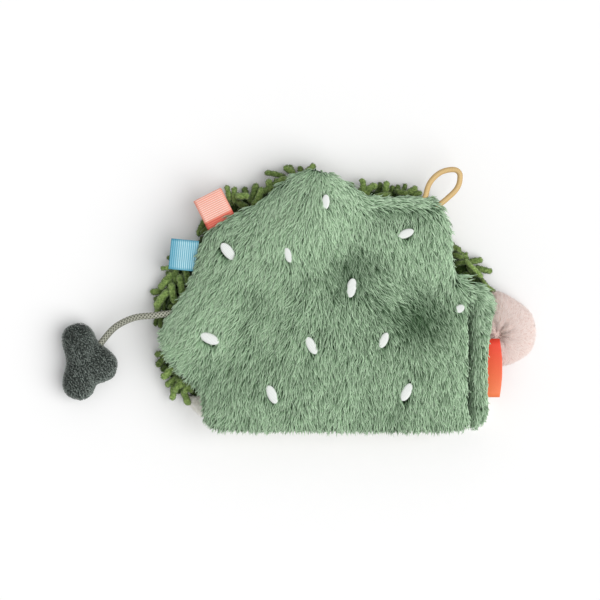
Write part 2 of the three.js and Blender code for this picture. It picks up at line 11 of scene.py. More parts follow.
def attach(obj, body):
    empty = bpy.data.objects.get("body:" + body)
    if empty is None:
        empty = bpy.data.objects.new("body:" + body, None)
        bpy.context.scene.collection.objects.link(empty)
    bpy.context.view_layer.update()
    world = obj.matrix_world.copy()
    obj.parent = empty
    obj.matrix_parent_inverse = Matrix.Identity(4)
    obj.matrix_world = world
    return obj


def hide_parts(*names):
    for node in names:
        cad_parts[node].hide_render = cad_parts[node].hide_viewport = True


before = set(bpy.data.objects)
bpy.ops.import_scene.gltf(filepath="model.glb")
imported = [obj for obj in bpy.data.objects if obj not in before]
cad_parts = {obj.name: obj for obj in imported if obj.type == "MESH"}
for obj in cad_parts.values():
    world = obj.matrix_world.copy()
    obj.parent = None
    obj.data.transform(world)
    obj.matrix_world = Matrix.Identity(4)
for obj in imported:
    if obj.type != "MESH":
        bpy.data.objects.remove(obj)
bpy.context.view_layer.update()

# All sizes below are in millimetres, and meshes are made in metres
MM = 0.001

# Ways shorter than this aren't drawn out to one long
TINY = 1e-6

# Lowest level of anything that rests on the floor
FLOOR_GAP = 0.02

# Foot and top of the front lining and of each leaf, and the level of the back cover's seam and of the charm's
LINING_LEVELS = (5.25, 9.0)
LEAF_1_LEVELS = (9.3, 13.3)
LEAF_2_LEVELS = (13.6, 17.6)
SEAM_LEVEL = 20.25
CHARM_LEVEL = 7.5

# Sizes of the woven strips
RIBBON_WIDTH = 16
LABEL_LENGTH = 30.6
TAPE_LENGTH = 66

# Frames that a pad swells for, and how far a moved outline may fall short before its point is dropped
SWELL_FRAMES = 20
OFFSET_SLACK = 0.15

# Fabric edge of the back cover, from the top of the crease round to its foot
COVER_EDGE = [
    (-2.4, 12), (-7, 14), (-10.4, 26), (-12, 39), (-16, 47.5), (-22, 52.4), (-30, 53.8), (-40, 52.8),
    (-48, 50.8), (-55, 52.2), (-66.5, 59.5), (-75, 64.5), (-82, 66.3), (-89.5, 64.3), (-98, 58.5),
    (-109, 48.8), (-122, 43), (-135.5, 35), (-140.5, 26), (-144, 10), (-152.5, -7.5), (-158.6, -15.5),
    (-159.8, -24.5), (-152.5, -36.2), (-143.5, -43.2), (-138.8, -50), (-138.4, -58.5), (-135.2, -63.6),
    (-129, -66.2), (-89, -66.4), (-27, -66.8), (-8, -66.2), (-2.4, -64.2),
]

# How far the pile rolls out past each point of that edge
ROLLED = [
    0, 0, -0.3, 0.3, 0.8, 0.6, 0.2, 1.4, 2.8, 2.8, 2.8, 2.8, 2.6, 2.8, 2.8, 2.8, 2.6, 1.6, 0.4, 1.0, 3.4,
    1.4, -0.4,
    -0.6, -0.4, 0.4, 0.2, 0, 0, 0, 0, 0, 0,
]

# Bound side of the spine strip from its foot to its top, and its shoulder
BOUND_SIDE = [
    (3.2, -64.2), (5.8, -62.8), (7.7, -59.4), (8.9, -54.8), (8.3, -47.3), (8.2, -35.9), (8.9, -22.9),
    (10.4, -9.9), (11.8, -0.5), (11.9, 2.6), (10.5, 5.4),
]
SPINE_EDGE = [(0.65, -63.8), *BOUND_SIDE, (6.5, 8.8), (3, 11.4), (0.65, 12)]

# Front cover edge beyond the bound side
FRONT_EDGE = [
    (9.4, 13), (4, 19.5), (-3, 25.5), (-8, 33), (-10.5, 44), (-16.5, 53.5), (-27, 59.5), (-42, 60.5),
    (-57, 61.5), (-70, 66), (-83, 70.2), (-94, 69.6), (-105, 65.6), (-113, 60.5), (-126, 55.5),
    (-139, 43), (-149, 28.5), (-158, 15), (-164, 3), (-164.5, -12), (-164.5, -27), (-161, -38),
    (-154, -47.5), (-146, -57), (-138, -64), (-129, -66.6), (-88, -66.9), (-27, -67.2), (-6, -66.8),
]


# Modelling by hand
def deselect():
    if bpy.context.object and bpy.context.object.mode != "OBJECT":
        bpy.ops.object.mode_set(mode="OBJECT")
    bpy.ops.object.select_all(action="DESELECT")


def pick(piece):
    deselect()
    piece.select_set(True)
    bpy.context.view_layer.objects.active = piece


@contextmanager
def editing(piece):
    """The whole of a piece, open for mesh editing."""
    pick(piece)
    bpy.ops.object.mode_set(mode="EDIT")
    bpy.ops.mesh.select_all(action="SELECT")
    yield
    bpy.ops.object.mode_set(mode="OBJECT")


def new_shape(operator, name, **settings):
    """A new piece that starts as one of Blender's own shapes."""
    deselect()
    operator(**settings)
    piece = bpy.context.object
    piece.name = name
    return piece


def add_object(name, data):
    """A new object in the scene, from a mesh, a camera or a light."""
    added = bpy.data.objects.new(name, data)
    bpy.context.scene.collection.objects.link(added)
    return added


def apply_modifier(piece, kind, **settings):
    pick(piece)
    modifier = piece.modifiers.new(kind.lower(), kind)
    for name, value in settings.items():
        setattr(modifier, name, value)
    bpy.ops.object.modifier_apply(modifier=modifier.name)


def read(items, name, width, kind):
    """One property of every item, in rows of the given width."""
    numbers = np.zeros(len(items) * width, kind)
    items.foreach_get(name, numbers)
    return numbers.reshape(-1, width)


def points_of(piece):
    return read(piece.data.vertices, "co", 3, np.float32).astype(float)


def set_points(piece, points):
    piece.data.vertices.foreach_set("co", np.asarray(points, np.float32).ravel())
    piece.data.update()


def set_values(piece, name, numbers):
    """A named number at each point of a piece."""
    attribute = piece.data.attributes.new(name, "FLOAT", "POINT")
    attribute.data.foreach_set("value", np.asarray(numbers, np.float32))


def smooth(piece):
    pick(piece)
    bpy.ops.object.shade_smooth()


# Ways and lines
def unit(ways):
    """The same ways, each one long."""
    return ways / np.maximum(np.linalg.norm(ways, axis=-1, keepdims=True), TINY)


def heading(turn):
    return np.array([math.cos(turn), math.sin(turn)])


def left_of(ways):
    return np.stack([-ways[..., 1], ways[..., 0]], axis=-1)


def turned(ways, angles):
    cos, sin = np.cos(angles), np.sin(angles)
    return np.column_stack([ways[:, 0] * cos - ways[:, 1] * sin, ways[:, 0] * sin + ways[:, 1] * cos])


def way_out(outline):
    """The way out of a closed outline at each of its points."""
    return -left_of(unit(np.roll(outline, -1, axis=0) - np.roll(outline, 1, axis=0)))


def lay_along(ups, ways):
    """The given ways, laid flat on the surface that has these ways out."""
    return unit(ways - (ways * ups).sum(1, keepdims=True) * ups)


def ramp(values, start, length):
    """Rises from 0 at the start to 1 over the length."""
    return np.clip((values - start) / length, 0, 1)


def bell(values, middle, reach):
    """Falls from 1 in the middle to 0 on both sides of it."""
    return np.exp(-((values - middle) / reach) ** 2)


def nearness(places, x, y, reach):
    """Falls from 1 at a spot to 0 all round it."""
    return np.exp(-((places[:, 0] - x) ** 2 + (places[:, 1] - y) ** 2) / (2 * reach ** 2))


def wave(run, pitch):
    return np.cos(2 * math.pi * run / pitch)


def smooth_line(points, closed=False, steps=4):
    """Points along a line that runs smoothly through the given ones."""
    points = np.asarray(points, float)
    if closed:
        padded_line = np.vstack([points[-1], points, points[:2]])
    else:
        first = 2 * points[0] - points[1]
        last = 2 * points[-1] - points[-2]
        padded_line = np.vstack([first, points, last])
    line = []
    for a, b, c, d in zip(padded_line, padded_line[1:], padded_line[2:], padded_line[3:]):
        for t in np.linspace(0, 1, steps, endpoint=False):
            line.append(0.5 * (2 * b + (c - a) * t + (2 * a - 5 * b + 4 * c - d) * t ** 2
                               + (3 * b - a - 3 * c + d) * t ** 3))
    if not closed:
        line.append(points[-1])
    return np.array(line)


def steps_along(line):
    """The distance from each point of a line to the next."""
    return np.linalg.norm(np.diff(line, axis=0), axis=1)


def marks_along(line):
    """How far along a line each of its points lies."""
    return np.concatenate([[0], np.cumsum(steps_along(line))])


def even_line(points, spacing):
    """The same line as points an even distance apart."""
    points = np.asarray(points, float)
    marks = marks_along(points)
    count = max(2, int(round(marks[-1] / spacing)) + 1)
    wanted = np.linspace(0, marks[-1], count)
    return np.column_stack([np.interp(wanted, marks, points[:, k]) for k in range(points.shape[1])])


def even_ring(outline, spacing):
    """A closed outline as points an even distance apart, with the first one again at the end."""
    return even_line(np.vstack([outline, outline[:1]]), spacing)


def inside(outline, places):
    """Which places lie inside a closed outline."""
    x, y = places[:, 0], places[:, 1]
    crossings = np.zeros(len(places), int)
    for (ax, ay), (bx, by) in zip(outline, np.roll(outline, -1, axis=0)):
        spans = (ay > y) != (by > y)
        if spans.any():
            cross = ax + (y - ay) * (bx - ax) / (by - ay)
            crossings += spans & (x < cross)
    return crossings % 2 == 1


def from_edge(outline, places):
    """Distance of each place from a closed outline, negative inside it, and the way out of it there."""
    best = np.full(len(places), np.inf)
    nearest = np.zeros((len(places), 2))
    for a, b in zip(outline, np.roll(outline, -1, axis=0)):
        along = b - a
        share = np.clip(((places - a) @ along) / max(along @ along, 1e-9), 0, 1)
        point = a + share[:, None] * along
        gap = np.linalg.norm(places - point, axis=1)
        closer = gap < best
        best[closer] = gap[closer]
        nearest[closer] = point[closer]
    sign = np.where(inside(outline, places), -1, 1)
    return sign * best, unit((places - nearest) * sign[:, None])


def offset(outline, distance):
    """Outline moved outwards by a distance, or inwards by a negative one."""
    moved = outline + distance * way_out(outline)
    gap, _ = from_edge(outline, moved)
    return moved[np.abs(gap) > abs(distance) - OFFSET_SLACK]


def ripple(places, size, seed):
    """Smooth unevenness about zero, with bumps of about the given size."""
    waves = np.random.default_rng(seed)
    total = np.zeros(len(places))
    for _ in range(8):
        turn = waves.uniform(0, 2 * math.pi)
        pace = 2 * math.pi / size * waves.uniform(0.6, 1.4)
        total += np.sin(places[:, :2] @ heading(turn) * pace + waves.uniform(0, 2 * math.pi))
    return total / 4


# Pads and pieces
def cushion(name, outline, rings):
    """A closed pad: the outline as a flat face, drawn up and in ring by ring of (share, height)."""
    middle = (outline.min(0) + outline.max(0)) / 2
    pad = new_shape(bpy.ops.mesh.primitive_circle_add, name, vertices=len(outline), radius=0.05,
                    fill_type="NGON")
    share, height = rings[0]
    for vertex, place in zip(pad.data.vertices, outline):
        x, y = middle + (place - middle) * share
        vertex.co = (x * MM, y * MM, height * MM)
    with editing(pad):
        for next_share, next_height in rings[1:]:
            rise = (next_height - height) * MM
            bpy.ops.mesh.extrude_region_move(TRANSFORM_OT_translate={"value": (0, 0, rise)})
            ratio = next_share / share
            centre = (middle[0] * MM, middle[1] * MM, next_height * MM)
            bpy.ops.transform.resize(value=(ratio, ratio, 1), center_override=centre)
            share, height = next_share, next_height
        bpy.ops.mesh.select_all(action="SELECT")
        bpy.ops.mesh.normals_make_consistent(inside=False)
    return pad


def plump(pad, voxel, pressure, cap, held):
    """Gives a pad an even mesh and swells it as filled cloth. The points that held picks out stay."""
    apply_modifier(pad, "REMESH", mode="VOXEL", voxel_size=voxel * MM)
    before = points_of(pad)
    group = pad.vertex_groups.new(name="held")
    group.add(np.flatnonzero(held(before / MM)).tolist(), 1.0, "REPLACE")
    pick(pad)
    cloth = pad.modifiers.new("filling", "CLOTH")
    cloth.settings.use_pressure = True
    cloth.settings.uniform_pressure_force = pressure
    cloth.settings.effector_weights.gravity = 0
    cloth.settings.vertex_group_mass = "held"
    cloth.collision_settings.use_collision = False
    for step in range(1, SWELL_FRAMES + 1):
        bpy.context.scene.frame_set(step)
    bpy.ops.object.modifier_apply(modifier="filling")
    bpy.context.scene.frame_set(1)
    pad.vertex_groups.clear()
    moved = points_of(pad) - before
    length = np.linalg.norm(moved, axis=1, keepdims=True)
    set_points(pad, before + moved * np.minimum(1, cap * MM / np.maximum(length, 1e-9)))
    apply_modifier(pad, "SUBSURF", levels=1, render_levels=1)
    smooth(pad)


def rest_on_floor(piece):
    points = points_of(piece)
    points[:, 2] = np.maximum(points[:, 2], FLOOR_GAP * MM)
    set_points(piece, points)


def mesh_piece(name, points, faces, **values):
    """A piece from points in metres and triangles, with a number at each point for each named value."""
    mesh = bpy.data.meshes.new(name)
    mesh.vertices.add(len(points))
    mesh.vertices.foreach_set("co", np.asarray(points, np.float32).ravel())
    mesh.loops.add(faces.size)
    mesh.loops.foreach_set("vertex_index", np.asarray(faces, np.int32).ravel())
    mesh.polygons.add(len(faces))
    mesh.polygons.foreach_set("loop_start", np.arange(0, faces.size, faces.shape[1], dtype=np.int32))
    mesh.update(calc_edges=True)
    piece = add_object(name, mesh)
    for value, numbers in values.items():
        set_values(piece, value, numbers)
    smooth(piece)
    return piece


def faces_of(piece):
    return np.array([list(face.vertices) for face in piece.data.polygons])


def dress(piece, material):
    piece.data.materials.clear()
    piece.data.materials.append(material)


def finish_piece(piece, body, material, slot, replaces=()):
    dress(piece, material)
    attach(piece, body)
    if replaces:
        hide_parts(*replaces)


# Finishes
def colour(red, green, blue):
    """A colour as it is seen on screen, from 0 to 255, turned into the renderer's own numbers."""
    def straight(value):
        value /= 255
        return value / 12.92 if value <= 0.04045 else ((value + 0.055) / 1.055) ** 2.4
    return (straight(red), straight(green), straight(blue), 1)


def grey(level):
    return (level, level, level, 1)


class Finish:
    """A material with its shader, and short ways to add nodes to it."""

    def __init__(self, name, roughness=0.9, sheen=0.0, specular=0.3):
        self.material = bpy.data.materials.new(name)
        self.material.use_nodes = True
        self.tree = self.material.node_tree
        self.shader = self.tree.nodes["Principled BSDF"]
        self.shader.inputs["Roughness"].default_value = roughness
        self.shader.inputs["Specular IOR Level"].default_value = specular
        self.shader.inputs["Sheen Weight"].default_value = sheen
        self.shader.inputs["Sheen Roughness"].default_value = 0.5

    def node(self, kind, **settings):
        made = self.tree.nodes.new(kind)
        for name, value in settings.items():
            setattr(made, name, value)
        return made

    def link(self, source, target):
        self.tree.links.new(source, target)

    def place(self):
        return self.node("ShaderNodeTexCoord").outputs["Object"]

    def axes(self):
        """The place on the piece as separate X, Y and Z."""
        split = self.node("ShaderNodeSeparateXYZ")
        self.link(self.place(), split.inputs[0])
        return split.outputs

    def value(self, name):
        return self.node("ShaderNodeAttribute", attribute_name=name).outputs["Fac"]

    def noise(self, scale, detail):
        made = self.node("ShaderNodeTexNoise")
        made.inputs["Scale"].default_value = scale
        made.inputs["Detail"].default_value = detail
        self.link(self.place(), made.inputs["Vector"])
        return made.outputs["Fac"]

    def ramp(self, source, *stops):
        made = self.node("ShaderNodeValToRGB")
        elements = made.color_ramp.elements
        while len(elements) < len(stops):
            elements.new(0.5)
        for element, (position, shade) in zip(elements, stops):
            element.position = position
            element.color = shade
        self.link(source, made.inputs["Fac"])
        return made.outputs["Color"]

    def times(self, first, second):
        """One shade multiplied by another."""
        made = self.node("ShaderNodeMix", data_type="RGBA", blend_type="MULTIPLY")
        made.inputs["Factor"].default_value = 1.0
        self.link(first, made.inputs["A"])
        self.link(second, made.inputs["B"])
        return made.outputs["Result"]

    def sum(self, way, first, second=0.0):
        made = self.node("ShaderNodeMath", operation=way)
        for source, target in zip((first, second), made.inputs):
            if isinstance(source, float):
                target.default_value = source
            else:
                self.link(source, target)
        return made.outputs["Value"]

    def bump(self, height, depth, strength):
        made = self.node("ShaderNodeBump")
        made.inputs["Strength"].default_value = strength
        made.inputs["Distance"].default_value = depth * MM
        self.link(height, made.inputs["Height"])
        self.link(made.outputs["Normal"], self.shader.inputs["Normal"])

    def nap(self, dark, light, size):
        """Fine mottling at the size of the nap's curls."""
        curls = self.noise(1000 / size, 4.0)
        self.bump(curls, size * 0.5, 0.7)
        return self.ramp(curls, (0.3, dark), (0.7, light))

    def threaded(self, shade, scale, depth, *stops):
        """A shade with fine threads over it."""
        threads = self.noise(scale, 2.0)
        self.bump(threads, depth, 0.3)
        return self.times(shade, self.ramp(threads, *stops))

    def paint(self, source):
        self.link(source, self.shader.inputs["Base Color"])
        return self.material


def pile_finish(name, root, middle, tip, dark, light, sheen):
    """Pile: painted shade dark at the root and on each lock's flanks, and a painted highlight pale along its
    crest to the tip, times each lock's tone.
    """
    finish = Finish(name, roughness=0.75, sheen=sheen, specular=0.12)
    along = finish.ramp(finish.value("along"), (0.0, root), (0.45, middle), (1.0, tip))
    tone = finish.ramp(finish.value("tone"), (0.0, dark), (1.0, light))
    return finish.paint(finish.times(along, tone))


def cloth_finish(name, base, pitch, weave):
    """Plain woven cloth with fine threads and faint unevenness."""
    finish = Finish(name, roughness=0.92, sheen=0.1, specular=0.15)
    axes = finish.axes()
    pace = 2 * math.pi / (pitch * MM)
    across, length = (finish.sum("SINE", finish.sum("MULTIPLY", axes[axis], pace)) for axis in "XY")
    threads = finish.sum("MULTIPLY", across, length)
    finish.bump(finish.sum("ADD", threads, finish.noise(900, 2.0)), 0.12, 0.35)
    dark = tuple(c * (1 - weave) for c in base[:3]) + (1,)
    shade = finish.ramp(finish.noise(420, 5.0), (0.3, dark), (0.62, base))
    thread_shade = finish.ramp(threads, (0.0, grey(0.9)), (1.0, grey(1.0)))
    return finish.paint(finish.times(shade, thread_shade))


def fuzzy_finish(name, dark, light, size, sheen=0.2):
    """Short nap."""
    finish = Finish(name, roughness=0.95, sheen=sheen, specular=0.1)
    return finish.paint(finish.nap(dark, light, size))


def yarn_finish(name, dark, light, size):
    """Fuzzy yarn: a mottled nap, times each length's tone, which carries painted light and shade, near black
    where the tone is lowest.
    """
    finish = Finish(name, roughness=0.95, sheen=0.3, specular=0.1)
    nap = finish.nap(dark, light, size)
    tone = finish.ramp(finish.value("tone"), (0.0, (0.12, 0.17, 0.06, 1)), (0.5, grey(0.66)),
                       (1.0, grey(1.16)))
    return finish.paint(finish.times(nap, tone))


def rib_finish(name, groove, crest, roughness, painted_shade=None):
    """Ribbon: ribs paler on their crests and darker between them as painted light and shade, fine threads
    across them, and any painted shade at the seam or fold.
    """
    finish = Finish(name, roughness=roughness, sheen=0.1, specular=0.25)
    stops = [(0.0, groove), (1.0, crest)] if painted_shade is None else [(0.0, painted_shade), (0.3, groove), (1.0, crest)]
    ribs = finish.ramp(finish.value("tone"), *stops)
    return finish.paint(finish.threaded(ribs, 2600, 0.05, (0.3, grey(0.9)), (0.7, grey(1.0))))


def satin_finish(name, foot, top, low, high):
    """Label satin: fine threads, a soft gloss, and a shade that changes from its foot to its top."""
    finish = Finish(name, roughness=0.42, specular=0.4)
    height = finish.sum("SUBTRACT", finish.axes()["Y"], low * MM)
    shade = finish.ramp(finish.sum("DIVIDE", height, (high - low) * MM), (0.05, foot), (0.95, top))
    return finish.paint(finish.threaded(shade, 3000, 0.04, (0.35, grey(0.93)), (0.65, grey(1.0))))


def film_finish(name, dark, light):
    """Thin crinkled film."""
    finish = Finish(name, roughness=0.25, specular=0.5)
    creases = finish.noise(220, 6.0)
    finish.bump(creases, 0.4, 0.8)
    return finish.paint(finish.ramp(creases, (0.3, dark), (0.7, light)))


sage_pile = pile_finish("sage_pile", colour(44, 72, 46), colour(148, 180, 144), colour(216, 238, 210),
                        (0.13, 0.2, 0.13, 1), grey(1.14), 0.0)
# Dark sage ground under the pile, as painted shade at the roots and in the crease
sage_ground = fuzzy_finish("sage_ground", colour(70, 96, 68), colour(96, 124, 92), 1.5)
olive_yarn = yarn_finish("olive_yarn", colour(84, 112, 50), colour(168, 194, 116), 1.1)
olive_fuzz = pile_finish("olive_fuzz", colour(74, 98, 46), colour(116, 143, 76), colour(152, 178, 110),
                         (0.2, 0.27, 0.11, 1), grey(1.1), 0.1)
# Near-black ground between the yarn, as painted shade in the gaps between lengths
olive_ground = fuzzy_finish("olive_ground", colour(22, 36, 10), colour(48, 68, 26), 1.6)
cream_fleece = fuzzy_finish("cream_fleece", colour(228, 225, 214), colour(248, 246, 240), 1.4, 0.3)
page_cream = cloth_finish("page_cream", colour(240, 232, 214), 0.7, 0.06)
page_sage = cloth_finish("page_sage", colour(196, 210, 188), 0.7, 0.08)
page_blush = cloth_finish("page_blush", colour(238, 214, 202), 0.7, 0.07)
page_sky = cloth_finish("page_sky", colour(196, 216, 222), 0.7, 0.07)
# Hinge tapes in a dark sage, as painted shade in the crease
tape_web = cloth_finish("tape_web", colour(66, 88, 64), 1.0, 0.12)
wadding_fibre = fuzzy_finish("wadding_fibre", colour(226, 224, 216), colour(248, 247, 242), 2.0)
crinkle_film = film_finish("crinkle_film", colour(196, 206, 212), colour(226, 233, 236))
stitch_white = rib_finish("stitch_white", colour(206, 214, 206), colour(250, 252, 250), 0.5)
# Binding thread in a dark sage, as painted shade in the crease
stitch_sage = rib_finish("stitch_sage", colour(70, 92, 68), colour(112, 136, 108), 0.7)
stitch_cream = rib_finish("stitch_cream", colour(206, 194, 168), colour(244, 236, 218), 0.6)
blue_ribbon = rib_finish("blue_ribbon", colour(98, 172, 197), colour(214, 246, 250), 0.75,
                         colour(62, 136, 166))
coral_ribbon = rib_finish("coral_ribbon", colour(246, 160, 138), colour(255, 236, 226), 0.75,
                          colour(206, 70, 56))
gold_elastic = rib_finish("gold_elastic", colour(186, 146, 84), colour(232, 202, 146), 0.6)
grey_braid = rib_finish("grey_braid", colour(72, 74, 62), colour(200, 201, 184), 0.75)
charcoal_pile = pile_finish("charcoal_pile", colour(40, 46, 43), colour(104, 113, 107), colour(160, 170, 163),
                            grey(0.25), grey(1.2), 0.1)
charcoal_ground = fuzzy_finish("charcoal_ground", colour(40, 46, 43), colour(66, 74, 70), 1.0)
pink_pile = pile_finish("pink_pile", colour(240, 218, 209), colour(246, 228, 221), colour(250, 238, 233),
                        (0.4, 0.3, 0.28, 1), grey(1.0), 0.5)
pink_ground = fuzzy_finish("pink_ground", colour(224, 196, 187), colour(240, 220, 212), 1.2)
label_satin = satin_finish("label_satin", colour(252, 132, 82), colour(246, 68, 46), -50, -20)

# Camera, in metres but for its sensor: the width that it sees at its distance, and its place
SENSOR = 36
VIEW_WIDTH = 0.312
VIEW_DISTANCE = 2.0
CAMERA_PLACE = (-0.08892, 0.00052, 2.025)


def set_stage():
    scene = bpy.context.scene
    scene.view_settings.view_transform = "Standard"
    camera = bpy.data.cameras.new("camera")
    camera.sensor_width = SENSOR
    camera.lens = SENSOR * VIEW_DISTANCE / VIEW_WIDTH
    camera.clip_end = 20
    scene.camera = add_object("camera", camera)
    scene.camera.location = CAMERA_PLACE

    world = bpy.data.worlds.new("room")
    scene.world = world
    world.use_nodes = True
    background = world.node_tree.nodes["Background"]
    background.inputs["Color"].default_value = (1, 1, 1, 1)
    background.inputs["Strength"].default_value = 0.54

    # One broad soft light from the lower right, even over the whole floor
    light = bpy.data.lights.new("soft_light", "SUN")
    light.angle = math.radians(60)
    light.energy = 2.05
    holder = add_object("soft_light", light)
    holder.rotation_euler = Vector((-0.72, 0.3, -1.0)).to_track_quat("-Z", "Y").to_euler()

    floor = new_shape(bpy.ops.mesh.primitive_plane_add, "floor", size=8, location=(0, 0, -0.0003))
    paper = Finish("white_paper", roughness=1.0, specular=0.0)
    grain = paper.ramp(paper.noise(40, 2.0), (0.0, grey(0.955)), (1.0, grey(0.965)))
    dress(floor, paper.paint(grain))


set_stage()

cover_line = smooth_line(COVER_EDGE)
spine_line = smooth_line(SPINE_EDGE)
front_line = smooth_line([*BOUND_SIDE, *FRONT_EDGE], True)


# Pile: the way that it is combed, as place, direction and reach
COMBED = [
    (-138, 24, -0.7, -0.7, 12), (-115, 0, -0.5, -0.85, 14), (-102, -12, -0.6, -0.8, 12),
    (-157, -20, -0.85, -0.5, 9), (-133, -57, -0.3, -1, 12), (-16, 32, 0.2, -1, 14),
    (-94, 57, -0.55, -0.8, 7), (-107, 45, -0.6, -0.75, 9), (-118, 43, -0.65, -0.7, 8),
    (-65, 57, 0.7, -0.7, 7), (-74, 65, 1.2, -0.5, 5), (-87, 66, -1.2, -0.5, 5), (-80, 60, -0.1, -1, 6),
    (-50, 51, 1.2, -0.4, 4.5), (-37, 53, 1.3, 0.1, 4.5), (-24, 52, 1.1, -0.3, 4.5), (-16, 46, 0.7, -0.8, 5),
    (-50, 42, 0.0, -1.2, 5), (-39, 43, 0.0, -1.4, 4.5), (-28, 43, 0.0, -1.2, 4.5),
    (-44, 3, 0.85, -0.5, 9), (-34, -2, 0.7, -0.7, 9), (-21, -12, 0.45, -0.9, 9), (-65, 20, 0.3, -0.95, 12),
    (-14, 9, -0.1, -1.0, 6), (5, -20, 0.4, -0.9, 12), (5, -50, 0.3, -0.95, 12),
    (-149, 0, -0.8, -0.6, 9), (-154, -36, -0.75, -0.65, 9), (-143, -49, -0.6, -0.8, 9),
    (-125, -15, -0.55, -0.85, 12), (-60, -45, 0.05, -1, 20), (-100, -50, -0.15, -1, 18),
]

# Patches of painted light and shade on the pile, which also raise or sink the back cover's pad: place, tone
# and reach
PATCHES = [
    (-65, 20, -0.6, 12), (-26, -6, -0.62, 11), (-100, 18, -0.08, 10), (-86, 42, 0.66, 16),
    (-149, -14, 0.46, 12), (-115, 24, 0.26, 14), (-50, 40, 0.26, 13), (-95, 60, -0.34, 7),
    (-118, 43, -0.2, 8), (-50, 47.4, -0.22, 2.6), (-45, 47.2, -0.3, 2.6), (-39, 47.2, -0.3, 2.6),
    (-33, 47.4, -0.28, 2.6), (-26, 46.6, -0.22, 2.6), (-50, 51, 0.3, 2.4), (-45, 51.4, 0.3, 2.4),
    (-39, 52, 0.3, 2.4),
    (-33, 52.4, 0.3, 2.4), (-27, 52, 0.3, 2.4), (-128, 2, 0.08, 10), (-112, -30, -0.12, 10),
    (-45, -59, -0.22, 8), (-115, 3, -0.16, 9), (-136, -31, -0.16, 8),
    (-140, -55, 0.06, 10), (-60, -55, 0.04, 18), (-20, 38, -0.06, 10), (-40, -10, -0.2, 9),
    (-135, -10, 0.2, 12), (-12, 18, 0.2, 9),
]

# Where the pile above the crease spreads from, to the right
FAN = np.array([-10.5, 9.5])


def combed_way(places):
    x, y = places[:, 0], places[:, 1]
    way = np.tile([0.0, -0.25], (len(places), 1))
    for spot_x, spot_y, across, up, reach in COMBED:
        way += nearness(places, spot_x, spot_y, reach)[:, None] * np.array([across, up])

    # To the right from the fan, along the lip at the top, and into the crease near its foot
    spread = places[:, :2] - FAN
    spread[:, 1] *= np.where(spread[:, 1] > 0, 0.5, 1)
    way += 6 * (ramp(x, -9, 3) * bell(y, 8, 7))[:, None] * unit(spread)
    lip = np.exp(-((x + 39) / 16) ** 4) * ramp(y, 47.6, 1.4)
    way += 5 * lip[:, None] * np.array([1, 0.05])
    lean = bell(np.abs(x), 2.5, 2.5) * ramp(-y, 50, 8)
    way[:, 0] -= 0.5 * np.sign(x) * lean
    turn = np.radians(14) * ripple(places, 22, 3) + np.radians(11) * ripple(places, 7, 4)
    return turned(unit(way), turn)


def mottling_and_painted_light(places):
    # Random mottling, then the patches of painted light and shade
    tone = 0.62 + 0.09 * ripple(places, 16, 8) + 0.1 * ripple(places, 5, 9)
    for x, y, change, reach in PATCHES:
        tone += change * nearness(places, x, y, reach)
    return tone


# A lock from root to tip: shares along it, and how wide, how far over and how high it is there
LOCK_RUN = [0, 0.33, 0.67, 1]
LOCK_WIDTH = [0.6, 1, 0.85, 0]
LOCK_LEAN = [0, 0.24, 0.63, 1]
LOCK_RISE = [-0.15, 0.72, 1, 0.92]


def model_tuft(locks, steps=2):
    """One tuft, modelled once: locks that rise, lean over along X and draw to a point, each with a crest.
    Gives its points, triangles, its painted light at each point (shade at the root and off the crest,
    highlight along the crest), and which lock it is on."""
    points, faces, painted_light, numbers = [], [], [], []
    first = 0
    for number, (side, start, length, width, swerve) in enumerate(locks):
        def drift(share):
            return side * (1 - 0.35 * share) + swerve * share ** 2
        lock = new_shape(bpy.ops.mesh.primitive_grid_add, "lock", x_subdivisions=steps, y_subdivisions=2,
                         size=1)
        flat = points_of(lock)
        along = flat[:, 0] + 0.5
        across = flat[:, 1] * np.interp(along, LOCK_RUN, LOCK_WIDTH) * width
        lean = np.interp(along, LOCK_RUN, LOCK_LEAN) * length + start
        crest = (np.abs(flat[:, 1]) < 0.1) & (along < 0.95)
        rise = np.interp(along, LOCK_RUN, LOCK_RISE) + np.where(crest, 0.3 * width, 0)
        set_points(lock, np.column_stack([lean, across + drift(along), rise]))
        with editing(lock):
            bpy.ops.mesh.remove_doubles(threshold=0.0001)
            bpy.ops.mesh.quads_convert_to_tris()
        made = points_of(lock)
        share = np.clip((made[:, 0] - start) / length, 0, 1)
        on_crest = np.abs(made[:, 1] - drift(share)) < 0.12 * width
        # Painted light: darker towards the root, and darker off the crest as painted shade on the flanks
        painted_light_along = np.interp(share, LOCK_LEAN, [0, 0.6, 0.9, 1])
        points.append(made)
        faces.append(faces_of(lock) + first)
        painted_light.append(np.where(on_crest, painted_light_along, 0.4 * painted_light_along))
        numbers.append(np.full(len(made), number))
        first += len(made)
        bpy.data.objects.remove(lock)
    return np.vstack(points), np.vstack(faces), np.concatenate(painted_light), np.concatenate(numbers)


def scatter_on(piece, spacing, keep, seed):
    """Places spread evenly over a piece, in millimetres, with the way out of its surface there."""
    chance = np.random.default_rng(seed)
    mesh = piece.data
    mesh.calc_loop_triangles()
    corners = read(mesh.loop_triangles, "vertices", 3, np.int32)
    points = points_of(piece) / MM
    a, b, c = points[corners.T]
    area = np.linalg.norm(np.cross(b - a, c - a), axis=1) / 2
    count = int(area.sum() / spacing ** 2 * 5)
    chosen = corners[chance.choice(len(area), count, p=area / area.sum())].T
    u, v = chance.random(count), chance.random(count)
    flip = u + v > 1
    u[flip], v[flip] = 1 - u[flip], 1 - v[flip]
    shares = np.stack([1 - u - v, u, v])[:, :, None]

    def blend(values):
        first, second, third = values[chosen] * shares
        return first + second + third
    places = blend(points)
    ways = unit(blend(read(mesh.vertices, "normal", 3, np.float32)))
    cells = np.floor(places / spacing).astype(np.int64)
    _, first = np.unique(cells, axis=0, return_index=True)
    kept = first[keep(places[first], ways[first])]
    return places[kept], ways[kept]


